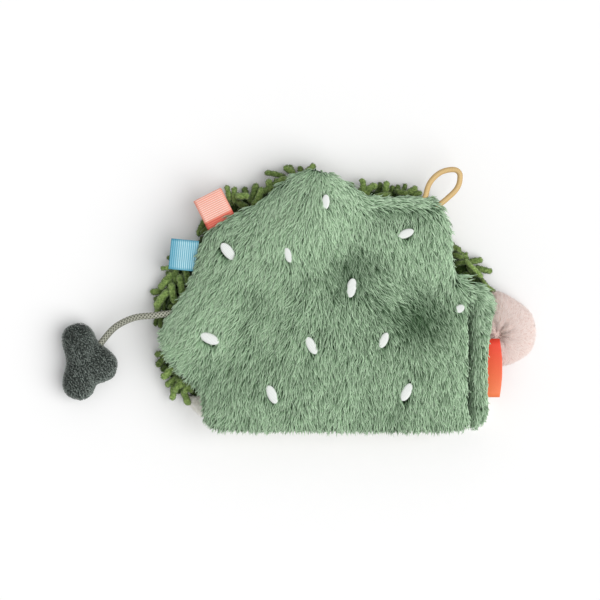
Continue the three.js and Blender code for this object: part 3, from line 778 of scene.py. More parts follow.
def plant(name, tuft, places, ups, ways, length, width, height, tone, seed, vary=0.16):
    """Copies of one tuft, each at its place, leaning its own way, all in one piece."""
    chance = np.random.default_rng(seed)
    points, faces, along, number = tuft
    sides = np.cross(ups, ways)
    moved = places[:, None, :]
    for axis, (size, way) in enumerate(((length, ways), (width, sides), (height, ups))):
        moved = moved + points[None, :, axis, None] * (size[:, None] * way)[:, None, :]
    count = len(places)
    all_faces = faces[None] + (np.arange(count) * len(points))[:, None, None]
    own = chance.normal(0, vary, (count, int(number.max()) + 1))
    tones = np.clip(tone[:, None] + own[:, number], 0, 1)
    # The tuft's painted light, repeated on every copy
    painted_lights = np.tile(along, (count, 1))
    return mesh_piece(name, moved.reshape(-1, 3) * MM, all_faces.reshape(-1, faces.shape[1]),
                      along=painted_lights.ravel(), tone=tones.ravel())


# Tufts, each lock as its place to the side, start, length, width and swerve
fine_tufts = [
    model_tuft([(-0.8, 0.0, 1.0, 0.7, 0.1), (-0.25, 0.12, 0.86, 0.66, -0.1), (0.3, -0.08, 1.05, 0.7, 0.05),
                (0.8, 0.1, 0.9, 0.66, -0.1)]),
    model_tuft([(-0.7, 0.1, 0.9, 0.66, 0.2), (0.0, -0.1, 1.1, 0.7, 0.0), (0.6, 0.05, 0.95, 0.66, -0.2),
                (0.1, 0.3, 0.8, 0.62, 0.1)]),
]
long_strands = [
    model_tuft([(-0.3, 0.0, 1.0, 0.66, 0.9), (0.4, 0.12, 0.85, 0.56, 0.4)], 3),
    model_tuft([(0.3, 0.0, 1.0, 0.66, -0.9), (-0.4, 0.12, 0.85, 0.56, -0.4)], 3),
]
single_tuft = model_tuft([(0.0, 0.0, 1.0, 0.5, 0.1)])

# Satin-stitch grains: middle, turn, length and width
GRAINS = [
    (-75.6, 51.4, 87, 7.8, 3.8), (-34, 35, 21, 8.8, 4.2), (-126.3, 25.7, -51, 10.8, 5),
    (-95.1, 23.8, -72, 8, 3.8), (-62.2, 6.8, 80, 10.2, 4.8), (-5.9, -4.0, 28, 5.4, 3.9),
    (-135.8, -19.5, -24, 10.4, 5), (-83, -23.1, -62, 10, 4.6), (-45.5, -20.4, 64, 8.8, 4.1),
    (-103.5, -48.5, -66, 10.3, 4.7), (-33.6, -47.3, 63, 10.1, 4.7),
]


def on_grain(places, room):
    """Which places lie on a grain or within some room of it."""
    found = np.zeros(len(places), bool)
    for x, y, turn, length, width in GRAINS:
        way = heading(math.radians(turn))
        away = places[:, :2] - np.array([x, y])
        along, across = away @ way, away @ left_of(way)
        found |= (along / (length / 2 + room)) ** 2 + (across / (width / 2 + room)) ** 2 < 1
    return found


# A layer of long pile: where it grows, the ranges and the wander of its strands, its painted light (darker
# for the under layer as painted shade, paler for the upper ones), how many pieces it is split into, and its
# seed
Layer = namedtuple("Layer", "name spacing keep tufts lengths widths heights wander brighter pieces seed")

# Pile that may stand this high keeps clear of the grains
HIGH_PILE = 2.3


def plush_layer(layer, pad, outline, body):
    """One layer of long pile on a pad: combed over its top, and let down over its rim where it is
    combed out."""
    places, ups = scatter_on(pad, layer.spacing, layer.keep, layer.seed)
    chance = np.random.default_rng(layer.seed + 1)
    x, y, count = places[:, 0], places[:, 1], len(places)
    gap, out = from_edge(outline, places[:, :2])
    rim = np.clip(1 + gap / 3.5, 0, 1)
    beside = np.abs(x) < 4.5
    above = (x > -8) & (x < 4.5) & (y > -2)
    rim = np.where(beside | above, 0.25 * rim, rim)
    comb = combed_way(places)
    outward = (comb * out).sum(1)
    hangs = np.clip(0.2 + outward, 0, 1)
    lies = rim * (1 - hangs)
    share = 0.6 * rim * hangs
    way = comb * (1 - share)[:, None] + out * share[:, None]
    way = turned(way, chance.normal(0, math.radians(layer.wander), count))

    # Above the open part of the crease the pile lies flat across it
    across = np.exp(-((x + 1) / 6) ** 2 - ((y - 7) / 7) ** 2)
    upright = np.maximum(across, 0.35 * lies)[:, None]
    ups = unit(ups * (1 - upright) + np.array([0.0, 0.0, 1.0]) * upright)
    ways = lay_along(ups, np.column_stack([way, -0.3 * rim * np.clip(outward, -1, 1)]))
    length = chance.uniform(*layer.lengths, count) * (1 - 0.58 * rim * hangs) * (1 + 0.3 * across)
    length *= 1 - 0.5 * ramp(ways[:, 2], 0.35, 0.3)
    width = chance.uniform(*layer.widths, count) * (1 - 0.25 * rim)
    height = chance.uniform(*layer.heights, count) * (1 - 0.6 * lies) * (1 - 0.3 * across)
    clear = np.ones(count, bool)
    if layer.heights[1] >= HIGH_PILE:
        for part in (0.35, 0.65, 0.95):
            clear &= ~on_grain(places[:, :2] + ways[:, :2] * (part * length)[:, None], -0.5)
    # Painted light and shade: the patches, each layer's painted light, and paler pile where it lies over the
    # rim; the rest is random
    tone = mottling_and_painted_light(places) + layer.brighter + 0.14 * lies + chance.normal(0, 0.07, count)
    share = chance.integers(layer.pieces, size=count)
    for number in range(layer.pieces):
        chosen = np.flatnonzero(clear & (share == number))
        tuft = layer.tufts[number % len(layer.tufts)]
        rows = [values[chosen] for values in (places, ups, ways, length, width, height, tone)]
        pile = plant(f"{layer.name}_{number + 1}", tuft, *rows, layer.seed + 2 + number)
        finish_piece(pile, body, sage_pile, "sage_plush")


def rolled_edge():
    """The back cover's edge, moved out where the pile rolls over it."""
    line = smooth_line(np.column_stack([COVER_EDGE, ROLLED]))
    return line[:, :2] + way_out(line[:, :2]) * line[:, 2:]


# How far the pad rises or sinks at a patch of tone 1
PATCH_RISE = 3.5


def make_back_cover():
    pile_line = rolled_edge()
    pad = cushion("back_cover_pad", pile_line, [
        (0.985, 18.85), (1.0, 19.6), (1.0, 20.6), (0.985, 21.5), (0.95, 22.4), (0.88, 23.6), (0.74, 25.2),
        (0.45, 26.2), (0.15, 26.5)])
    plump(pad, voxel=4, pressure=4, cap=1.5, held=lambda p: p[:, 2] < 21.2)
    points = points_of(pad) / MM
    top = ramp(points[:, 2], 21, 3)
    for x, y, change, reach in PATCHES:
        points[:, 2] += top * nearness(points, x, y, reach) * change * PATCH_RISE
    points[:, 2] += top * 0.35 * ripple(points, 24, 12)
    set_points(pad, points * MM)
    finish_piece(pad, "back_cover", sage_ground, "sage_plush", ["back_plush"])

    def all_over(places, ups):
        return ((ups[:, 2] > -0.35) & (places[:, 2] > 19.3) & ~on_grain(places, -0.7)
                & (places[:, 0] < -2.0))

    def at_rim(places, ups):
        gap, _ = from_edge(pile_line, places[:, :2])
        return all_over(places, ups) & (gap > -2.2)

    def at_crown(places, ups):
        return (all_over(places, ups) & (ups[:, 2] > 0.3)
                & (np.hypot(places[:, 0] + 80.5, places[:, 1] - 64) < 7))

    def over_crease(places, ups):
        return (places[:, 0] > -8) & (places[:, 1] > -1) & (places[:, 2] > 20.4) & ~on_grain(places, 0)

    for layer in (
        Layer("back_under_pile", 1.25, all_over, fine_tufts,
              (4.2, 5.6), (0.75, 0.95), (1.6, 2.2), 16, -0.32, 4, 21),
        Layer("back_middle_pile", 1.18, all_over, long_strands,
              (5.2, 7.0), (0.5, 0.68), (2.1, 2.7), 15, 0.0, 2, 41),
        Layer("back_top_pile", 1.3, all_over, long_strands,
              (5.6, 8.0), (0.5, 0.7), (2.7, 3.3), 13, 0.22, 2, 51),
        Layer("back_rim_pile", 0.8, at_rim, long_strands,
              (4.5, 6.0), (0.3, 0.42), (1.4, 2.4), 24, 0.2, 1, 57),
        Layer("back_crown_pile", 0.8, at_crown, long_strands,
              (4.5, 6.0), (0.5, 0.7), (1.8, 2.8), 22, 0.16, 1, 59),
        Layer("back_fan_pile", 0.95, over_crease, long_strands,
              (7, 14), (0.5, 0.7), (1.7, 2.7), 12, 0.14, 1, 55),
    ):
        plush_layer(layer, pad, pile_line, "back_cover")
    return pad


def make_spine():
    line = offset(spine_line, -1.2)

    # Drawn in at the shoulder, let out into the crease, and let down at the foot
    line[:, 0] -= 1.8 * ramp(line[:, 1], -2, 6) * ramp(line[:, 0], 2, 3)
    foot = ramp(-line[:, 1], 48, 8)
    line[:, 0] -= (0.2 + 0.6 * foot) * ramp(-line[:, 0], -3.2, 1.2)
    line[:, 1] -= 1.2 * ramp(-line[:, 1], 58, 3)
    pad = cushion("spine_pad", line, [
        (0.97, 15.2), (1.0, 16.5), (1.0, 20.4), (0.93, 21.6), (0.75, 22.4), (0.4, 22.8), (0.15, 22.8)])
    plump(pad, voxel=2, pressure=4, cap=0.6, held=lambda p: p[:, 2] < 19)
    points = points_of(pad) / MM
    points[:, 2] -= 1.1 * ramp(points[:, 1], -5, 7) * ramp(points[:, 2], 17, 4)
    set_points(pad, points * MM)
    finish_piece(pad, "front_cover", sage_ground, "sage_plush", ["spine_plush"])

    def all_over(places, ups):
        return (ups[:, 2] > -0.5) & (places[:, 2] > 15.4) & ((places[:, 0] > 2.6) | (places[:, 2] > 18.5))

    def over_shoulder(places, ups):
        return (places[:, 1] > -3) & (places[:, 2] > 19.5)

    for layer in (
        Layer("spine_under_pile", 1.25, all_over, fine_tufts,
              (3.2, 4.4), (0.8, 1.0), (1.3, 1.8), 16, -0.16, 1, 61),
        Layer("spine_middle_pile", 1.5, all_over, long_strands,
              (4.2, 5.6), (0.75, 1.0), (1.6, 2.0), 14, -0.04, 2, 71),
        Layer("spine_top_pile", 1.7, all_over, long_strands,
              (4.6, 6.2), (0.75, 1.0), (1.8, 2.3), 14, 0.12, 2, 81),
        Layer("spine_fan_pile", 1.0, over_shoulder, long_strands,
              (5.5, 7.5), (0.55, 0.75), (1.4, 2.2), 12, 0.14, 1, 86),
    ):
        plush_layer(layer, pad, spine_line, "front_cover")


# Columns of a grain's grid, every other one the crest of a stitch, and its height over the pad near it
GRAIN_COLUMNS = 30
GRAIN_LIFT = 3.0
GRAIN_NEAR = 4


def make_grains(pad):
    model = new_shape(bpy.ops.mesh.primitive_grid_add, "grain_model", x_subdivisions=GRAIN_COLUMNS,
                      y_subdivisions=8, size=1)
    with editing(model):
        bpy.ops.mesh.region_to_loop()
        bpy.ops.mesh.extrude_edges_move(TRANSFORM_OT_translate={"value": (0, 0, -1)})
    points = points_of(model)
    skirt = points[:, 2] < -0.5
    along, across = points[:, 0] * 2, points[:, 1] * 2
    column = np.round((points[:, 0] + 0.5) * GRAIN_COLUMNS)
    slim = (1 - np.abs(along) ** 2.3) ** 0.62
    ridge = np.where(column % 2 == 0, 1.0, 0.0)
    dome = 0.5 * (1 - across ** 4) * slim ** 0.5 + 0.16 * ridge
    up = np.where(skirt, -2.6, dome - 0.6)
    shape = np.column_stack([points[:, 0], points[:, 1] * slim + 0.03 * across, up])
    # Painted light: stitch crests pale, the hollows between them darker as painted shade
    set_values(model, "tone", 0.3 + 0.7 * ridge)
    smooth(model)
    ground = points_of(pad) / MM
    for number, (x, y, turn, length, width) in enumerate(GRAINS, 1):
        node = f"grain_{number:02d}"
        middle = np.array([x, y])
        near = np.linalg.norm(ground[:, :2] - middle, axis=1) < GRAIN_NEAR
        top = ground[near, 2].max() + GRAIN_LIFT
        grain = add_object(f"{node}_satin_stitch", model.data.copy())
        spot = turned(shape[:, :2] * np.array([length, width]), math.radians(turn))
        set_points(grain, np.column_stack([spot + middle, top + shape[:, 2]]) * MM)
        finish_piece(grain, "back_cover", stitch_white, "white_stitch", [node])
    bpy.data.objects.remove(model)


def strip(name, path, width, spacing, thickness, relief, to_place):
    """A woven strip: a grid laid along a path in its own plane, with relief along it, and thickened."""
    path = even_line(path, spacing)
    columns = len(path) - 1
    piece = new_shape(bpy.ops.mesh.primitive_grid_add, name, x_subdivisions=columns, y_subdivisions=10,
                      size=1)
    points = points_of(piece)
    column = np.round((points[:, 0] + 0.5) * columns).astype(int)
    run = marks_along(path)
    lift, tone = relief(run[column], points[:, 1] * 2)
    normal = left_of(unit(np.gradient(path, axis=0)))[column]
    profile = path[column] + normal * lift[:, None]
    set_points(piece, to_place(profile[:, 0], points[:, 1] * width, profile[:, 1]) * MM)
    set_values(piece, "tone", tone)
    apply_modifier(piece, "SOLIDIFY", thickness=thickness * MM, offset=0)
    smooth(piece)
    return piece, run[-1]


def folded_path(start, reach, half, puff):
    """Out along the lower ply, round the fold, and back along the upper one."""
    bend = reach - half

    def ply(places, side):
        return [(x, side * (half + puff * math.sin(math.pi * max(x, 0) / reach))) for x in places]
    fold = [(bend + half * math.sin(a), -half * math.cos(a)) for a in np.linspace(0.2, math.pi - 0.2, 12)]
    return [*ply(np.linspace(start, bend, 30), -1), *fold, *ply(np.linspace(bend, start, 30), 1)]


def make_ribbon(name, hinge, out, reach, finish, slot, seam_shade, fold_shade):
    out = np.array(out)

    def to_place(x, y, z):
        flat = np.array(hinge) + x[:, None] * out + y[:, None] * left_of(out)
        return np.column_stack([flat, SEAM_LEVEL + z])

    path = folded_path(-1, reach - 1, 0.62, 0.2)
    whole = steps_along(path).sum()

    def ribs(run, across):
        rib = wave(run, 1.05)
        selvage = np.clip((np.abs(across) - 0.9) * 12, 0, 1)
        from_seam = np.minimum(run, whole - run)
        from_fold = whole / 2 - from_seam
        # Painted shade near the seam, where the plush overhangs the ribbon, and near the fold; ribs painted
        # paler on their crests
        painted_shade = seam_shade * ramp(-from_seam, -5.6, 1.2)
        painted_shade = np.maximum(painted_shade, fold_shade * np.clip(1.3 - from_fold / 4, 0, 1))
        tone = (0.3 + (0.35 + 0.35 * rib) * (1 - selvage)) * (1 - painted_shade)
        return 0.13 * rib * (1 - selvage) + 0.05 * selvage, tone
    piece, length = strip(f"{name}_folded_ribbon", path, RIBBON_WIDTH, spacing=0.21, thickness=0.4,
                          relief=ribs, to_place=to_place)
    finish_piece(piece, name, finish, slot, [f"{name}_ribbon"])


# Middle of the label's sewn edge
LABEL_PLACE = (9.8, -35, 14.4)


def make_label():
    def to_place(x, y, z):
        bow = 1 - 0.2 * (y / (LABEL_LENGTH / 2)) ** 2
        lift = 0.5 * np.cos(y / 8) * np.clip(x, 0, None) / 7
        return np.column_stack([LABEL_PLACE[0] + x * bow, LABEL_PLACE[1] + y, LABEL_PLACE[2] + z + lift])

    def plain(run, across):
        return 0.03 * np.cos(across * 40), np.full(len(run), 0.5)
    path = folded_path(-1.5, 6.9, 0.4, 0.12)
    piece, length = strip("side_label_folded", path, LABEL_LENGTH, spacing=0.3, thickness=0.3,
                          relief=plain, to_place=to_place)
    finish_piece(piece, "label", label_satin, "label_satin", ["side_label"])


def tube(name, line, radius, sides, spacing, relief):
    """A cord along a line, closed at both ends, with relief and tone from its weave."""
    line = even_line(line, spacing)
    way = unit(np.gradient(line, axis=0))
    side = np.cross(way[0], [0.0, 0.0, 1.0])
    corner = np.arange(sides)
    after = (corner + 1) % sides
    angles = corner * 2 * math.pi / sides
    points, tones = [], []
    run = 0.0
    for place, ahead in zip(line, way):
        side = unit(side - (side @ ahead) * ahead)
        up = np.cross(side, ahead)
        lift, tone = relief(run, angles)
        ring = np.cos(angles)[:, None] * side + np.sin(angles)[:, None] * up
        points.append(place + ring * (radius + lift)[:, None])
        tones.append(tone)
        run += spacing
    faces = []
    end = (len(line) - 1) * sides
    for a in range(0, end, sides):
        b = a + sides
        faces.append(np.column_stack([a + corner, b + corner, b + after]))
        faces.append(np.column_stack([a + corner, b + after, a + after]))
    first, last = np.full(sides, end + sides), np.full(sides, end + sides + 1)
    faces.append(np.column_stack([first, corner, after]))
    faces.append(np.column_stack([last, end + after, end + corner]))
    points = np.vstack([*points, line[0] - way[0] * radius * 0.5, line[-1] + way[-1] * radius * 0.5])
    tones = np.concatenate([*tones, [0.5, 0.5]])
    piece = mesh_piece(name, points * MM, np.vstack(faces), tone=tones)
    with editing(piece):
        bpy.ops.mesh.normals_make_consistent(inside=False)
    return piece, line


def declare_cord(piece, line):
    length = steps_along(line).sum()
    [tuple(p * MM) for p in line]


# Hanging loop: place of its hinge, way out, and its line as distances out and to the left
LOOP_HINGE = (-19.551, 52.391, 20.25)
LOOP_OUT = (0.53505, 0.84482)
LOOP_LINE = [
    (-2.5, 4.2), (0, 4.6), (5.3, 6.2), (10.3, 6), (14.6, 4.4), (17.7, 1.8), (19.7, -1.3), (19.4, -3.9),
    (17.6, -5.5), (14.1, -6.9), (10.3, -7), (5.4, -5.8), (0, -4.1), (-2.5, -3.7),
]

# Charm cord: its line from the seam to the charm
CORD_LINE = [
    (-151.6, -6, 20.4), (-154.135, -6.27, 20.25), (-165.9, -7.6, 19), (-174, -8.41, 16.6),
    (-181, -10.9, 13.2),
    (-186.98, -14.79, 10), (-192.729, -21.328, 7.5), (-195, -25, 7.2),
]


def make_cords():
    out = np.array(LOOP_OUT)
    flat = np.array([LOOP_HINGE[:2] + a * out + b * left_of(out) for a, b in LOOP_LINE])
    line = smooth_line(np.column_stack([flat, np.full(len(flat), LOOP_HINGE[2])]), steps=8)

    def knit(run, angles):
        rib = np.cos(2 * math.pi * run / 0.8 + 2 * angles)
        # Painted highlight along the top of the loop, and ribs painted paler on their crests
        back = np.clip(np.sin(angles), 0, 1) ** 2
        return 0.05 * rib, 0.22 + 0.55 * back + 0.2 * rib
    loop, path = tube("hanging_loop_elastic", line, radius=1.42, sides=16, spacing=0.2, relief=knit)
    finish_piece(loop, "hanging_loop", gold_elastic, "gold_elastic", ["hanging_elastic"])
    declare_cord(loop, path)

    def braid(run, angles):
        pace = 2 * math.pi * run / 1.9
        # Painted light: strand crests paler and grooves darker, and the sides darker as painted shade
        top = np.maximum(np.cos(5 * angles + pace), np.cos(5 * angles - pace))
        return 0.18 * top, np.clip(0.12 + 0.95 * top, 0, 1) * (0.5 + 0.5 * np.abs(np.sin(angles)))
    line = smooth_line(CORD_LINE, steps=8)
    cord, path = tube("charm_cord_braided", line, radius=1.58, sides=30, spacing=0.2, relief=braid)
    finish_piece(cord, "charm_cord", grey_braid, "grey_cord", ["charm_cord_braid"])
    declare_cord(cord, path)


# Charm: its middle, each lobe's distance, bearing and radius, and the waist after each lobe
CHARM_MIDDLE = np.array([-201.2, -32.4])
CHARM_LOBES = [(7.9, -10, 8.4), (13.3, 108, 8), (11.9, -108, 8)]
CHARM_WAISTS = np.array([(5.2, 11.4), (-9.6, 0.7), (4.8, -10.6)])


def lobe_middle(away, bearing):
    return CHARM_MIDDLE + away * heading(math.radians(bearing))


def make_charm():
    rim = []
    for (away, bearing, radius), waist in zip(CHARM_LOBES, CHARM_WAISTS):
        for swing in (-75, -28, 28, 75):
            rim.append(lobe_middle(away, bearing) + radius * heading(math.radians(bearing + swing)))
        rim.append(CHARM_MIDDLE + waist)
    line = smooth_line(rim, True, 5)

    def at_seam(points):
        return np.abs(points[:, 2] - CHARM_LEVEL) < 0.7
    pad = cushion("charm_pad", line, [
        (0.5, 0.9), (0.78, 1.9), (0.93, 4), (0.99, 6), (0.97, CHARM_LEVEL), (0.99, 9), (0.93, 11),
        (0.78, 13.1), (0.5, 14.1), (0.2, 14.2)])
    plump(pad, voxel=1.6, pressure=4, cap=0.8, held=at_seam)
    points = points_of(pad) / MM
    top = ramp(points[:, 2], 8, 4)
    place = points[:, :2] - CHARM_MIDDLE
    for waist in CHARM_WAISTS:
        along = np.clip((place @ waist) / (waist @ waist), 0, 1)
        away = np.linalg.norm(place - along[:, None] * waist, axis=1)
        points[:, 2] -= 2.2 * top * along * bell(away, 0, 2.2)
    set_points(pad, points * MM)
    finish_piece(pad, "charm", charcoal_ground, "charcoal_plush", ["charm_lower_cloth", "charm_upper_cloth"])
    filling = cushion("charm_filling", line, [
        (0.4, 3), (0.72, 5), (0.76, CHARM_LEVEL), (0.72, 10), (0.4, 12)])
    plump(filling, voxel=1.6, pressure=2, cap=0.3, held=at_seam)
    finish_piece(filling, "charm", wadding_fibre, "wadding", ["charm_stuffing"])

    places, ups = scatter_on(pad, spacing=0.72, keep=lambda p, n: p[:, 2] > 0.8, seed=81)
    chance = np.random.default_rng(82)
    count = len(places)
    flat = turned(np.tile([0.45, -0.9], (count, 1)), chance.normal(0, 0.35, count))
    ways = lay_along(ups, np.column_stack([flat, np.full(count, -0.1)]))
    across = places[:, 0] * 0.83 + places[:, 1] * 0.55 + 0.3 * ripple(places, 6, 83)
    rows = np.sin(2 * math.pi * across / 1.35)
    gap, _ = from_edge(line, places[:, :2])
    tone = 0.59 + 0.25 * rows + 0.12 * ripple(places, 7, 84) + chance.normal(0, 0.16, count)
    # Painted light: paler towards the rim as painted highlight, and darker over the middle of each lobe as
    # painted shade
    tone += 0.26 * np.clip(1 + gap / 3, 0, 1)
    for away, bearing, radius in CHARM_LOBES:
        off = places[:, :2] - lobe_middle(away, bearing)
        tone -= 0.24 * np.exp(-(off ** 2).sum(1) / (0.6 * radius) ** 2)
    nap = plant("charm_nap", single_tuft, places, ups, ways, chance.uniform(0.9, 1.5, count),
                chance.uniform(1.1, 1.5, count), chance.uniform(0.7, 1.2, count), tone, seed=84, vary=0.22)
    rest_on_floor(nap)
    finish_piece(nap, "charm", charcoal_pile, "charcoal_plush")


# Bobble: its edge, its middle and the place that its folds gather to
BOBBLE_EDGE = [
    (13, 5.2), (8, 3.6), (4, -1), (2.4, -10), (3, -20), (6, -28), (11.5, -33.4), (17.2, -34.8),
    (20.3, -34.3),
    (25.5, -31.9), (30.5, -28.9), (33.6, -25.2), (34.8, -21.3), (35.2, -16.1), (34.7, -10.9), (33.3, -6.8),
    (30.7, -3.4), (25.5, 0.2), (20.3, 3.7), (16.6, 5.2),
]
BOBBLE_MIDDLE = np.array([17.7, -15.1])
GATHER = np.array([14.6, -17.7])


# Level of the bobble's middle, and half its height before it swells
BOBBLE_LEVEL = 6.5
BOBBLE_HALF = 5.9


def from_gather(places):
    """How far each place lies from the gather, the way out to it, and its turn through the folds."""
    away = places[:, :2] - GATHER
    reach = np.linalg.norm(away, axis=1)
    turn = np.arctan2(away[:, 1], away[:, 0])
    return reach, unit(away), 9 * turn + 0.8 * np.sin(2 * turn)


def make_bobble():
    pad = new_shape(bpy.ops.mesh.primitive_uv_sphere_add, "bobble_pad", segments=64, ring_count=32, radius=1)
    ball = points_of(pad)
    edge = offset(smooth_line(BOBBLE_EDGE, True), -0.9) - BOBBLE_MIDDLE
    bearing = np.arctan2(edge[:, 1], edge[:, 0])
    order = np.argsort(bearing)
    turn = np.arctan2(ball[:, 1], ball[:, 0])
    reach = np.interp(turn, bearing[order], np.linalg.norm(edge, axis=1)[order], period=2 * math.pi)
    up = np.sign(ball[:, 2]) * np.abs(ball[:, 2]) ** 0.75
    points = np.column_stack([BOBBLE_MIDDLE + ball[:, :2] * reach[:, None], BOBBLE_LEVEL + up * BOBBLE_HALF])
    gap, out = from_edge(front_line, points[:, :2])
    points[:, :2] += out * np.clip(0.6 - gap, 0, None)[:, None]
    set_points(pad, points * MM)
    filling = add_object("bobble_filling", pad.data.copy())
    middle = points.mean(0)
    set_points(filling, (middle + (points - middle) * np.array([0.72, 0.78, 0.5])) * MM)
    smooth(filling)
    finish_piece(filling, "front_cover", wadding_fibre, "wadding", ["bobble_stuffing"])
    plump(pad, voxel=2, pressure=3, cap=0.8, held=lambda p: p[:, 0] < 12)
    points = points_of(pad) / MM
    reach, _, folds = from_gather(points)
    crease = np.cos(folds) * bell(reach, 4, 3.5)
    top = ramp(points[:, 2], BOBBLE_LEVEL, 4)
    points[:, 2] += top * (0.5 * crease - 2.6 * bell(reach, 0, 3.2))
    set_points(pad, points * MM)
    finish_piece(pad, "front_cover", pink_ground, "pink_plush", ["bobble_cloth"])

    places, ups = scatter_on(pad, spacing=0.6, keep=lambda p, n: (p[:, 0] > 9.5) & (p[:, 2] > 0.9), seed=91)
    chance = np.random.default_rng(92)
    count = len(places)
    reach, away, folds = from_gather(places)
    wander = chance.normal(0, 1, count) * np.clip(0.15 + reach / 30, 0, 0.6)
    ways = lay_along(ups, np.column_stack([turned(away, wander), np.full(count, -0.1)]))
    dips = np.clip(np.cos(folds + math.pi), 0, 1)
    # Painted shade: darker towards the spine on the left, in the pit of the gather and along the fold valleys
    tone = (0.86 + 0.13 * np.clip((places[:, 0] - 18) / 12, -1, 1) - 0.7 * bell(reach, 0, 2.2)
            - 0.5 * dips * bell(reach, 4, 3.5) + chance.normal(0, 0.03, count))
    fluff = plant("bobble_pile", single_tuft, places, ups, ways, chance.uniform(2.0, 3.0, count),
                  chance.uniform(0.55, 0.75, count), chance.uniform(0.3, 0.45, count), tone, seed=93,
                  vary=0.03)
    finish_piece(fluff, "front_cover", pink_pile, "pink_plush")


def copy_of(node, name):
    """A new piece that starts from a CAD node's form, with its loose triangles merged."""
    piece = add_object(name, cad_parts[node].data.copy())
    with editing(piece):
        bpy.ops.mesh.remove_doubles(threshold=0.00002)
    return piece


def model_noodle(seed, sides, cuts):
    """One length of chenille yarn along X, lumpy, modelled once. Gives points and triangles."""
    lumps = np.random.default_rng(seed)
    noodle = new_shape(bpy.ops.mesh.primitive_cylinder_add, "noodle", vertices=sides, radius=1, depth=1,
                       end_fill_type="TRIFAN")
    with editing(noodle):
        for height in cuts:
            bpy.ops.mesh.select_all(action="SELECT")
            bpy.ops.mesh.bisect(plane_co=(0, 0, height), plane_no=(0, 0, 1))
        bpy.ops.mesh.select_all(action="SELECT")
        bpy.ops.mesh.quads_convert_to_tris()
        bpy.ops.mesh.normals_make_consistent(inside=False)
    points = points_of(noodle)
    along = points[:, 2] + 0.5
    beads = 1 + 0.09 * np.cos(2 * math.pi * (along * 4 + lumps.uniform()))
    across = points[:, :2] * (beads * (1 + lumps.normal(0, 0.08, len(points))))[:, None]
    faces = faces_of(noodle)
    bpy.data.objects.remove(noodle)
    return np.column_stack([along, across]), faces


FULL_CUTS = (-0.47, -0.41, -0.33, -0.24, -0.14, -0.05, 0.05, 0.14, 0.24, 0.33, 0.41, 0.47)
full_noodles = [model_noodle(seed, 9, FULL_CUTS) for seed in (5, 6, 7)]
plain_noodles = [model_noodle(seed, 6, (-0.4, -0.15, 0.15, 0.4)) for seed in (8, 9)]


def bend_noodle(shape, line, radius, flat):
    """A noodle's points, bent to follow a line and rounded off bluntly at both ends."""
    line = even_line(smooth_line(line), 0.6)
    way = unit(np.gradient(line, axis=0))
    spot = np.clip(shape[:, 0], 0, 1) * (len(line) - 1)
    before = np.minimum(spot.astype(int), len(line) - 2)
    share = (spot - before)[:, None]
    middle, ahead = (values[before] * (1 - share) + values[before + 1] * share for values in (line, way))
    side = np.array([*left_of(unit((line[-1] - line[0])[:2])), 0.0])
    up = np.cross(ahead, side)
    from_end = np.minimum(shape[:, 0], 1 - shape[:, 0]) * steps_along(line).sum() / radius
    size = radius * np.maximum(1 - np.clip(1 - from_end, 0, 1) ** 2.6, 0.15) ** 0.45
    return middle + side * (shape[:, 1] * size)[:, None] + up * (shape[:, 2] * size * flat)[:, None]


# Lowest level of the yarn
YARN_FLOOR = 0.05


def lay_noodles(name, laid, shapes, seed, flat=1):
    """Noodles bent to follow their lines, all in one piece, each with its own tone and painted light: paler
    on top, darker on its sides and underneath.
    """
    chance = np.random.default_rng(seed)
    all_points, all_faces, tones = [], [], []
    first = 0
    for line, radius, tone in laid:
        shape, faces = shapes[chance.integers(len(shapes))]
        points = bend_noodle(shape, line, radius, flat)
        points[:, 2] = np.maximum(points[:, 2], YARN_FLOOR)
        all_points.append(points)
        all_faces.append(faces + first)
        # Painted light: paler on top of each length, darker on its sides and underneath
        tones.append(tone * (0.56 + 0.44 * np.clip(1.4 * shape[:, 2], -1, 1)))
        first += len(points)
    piece = mesh_piece(name, np.vstack(all_points) * MM, np.vstack(all_faces), tone=np.concatenate(tones))
    finish_piece(piece, "front_cover", olive_yarn, "olive_chenille")
    return piece
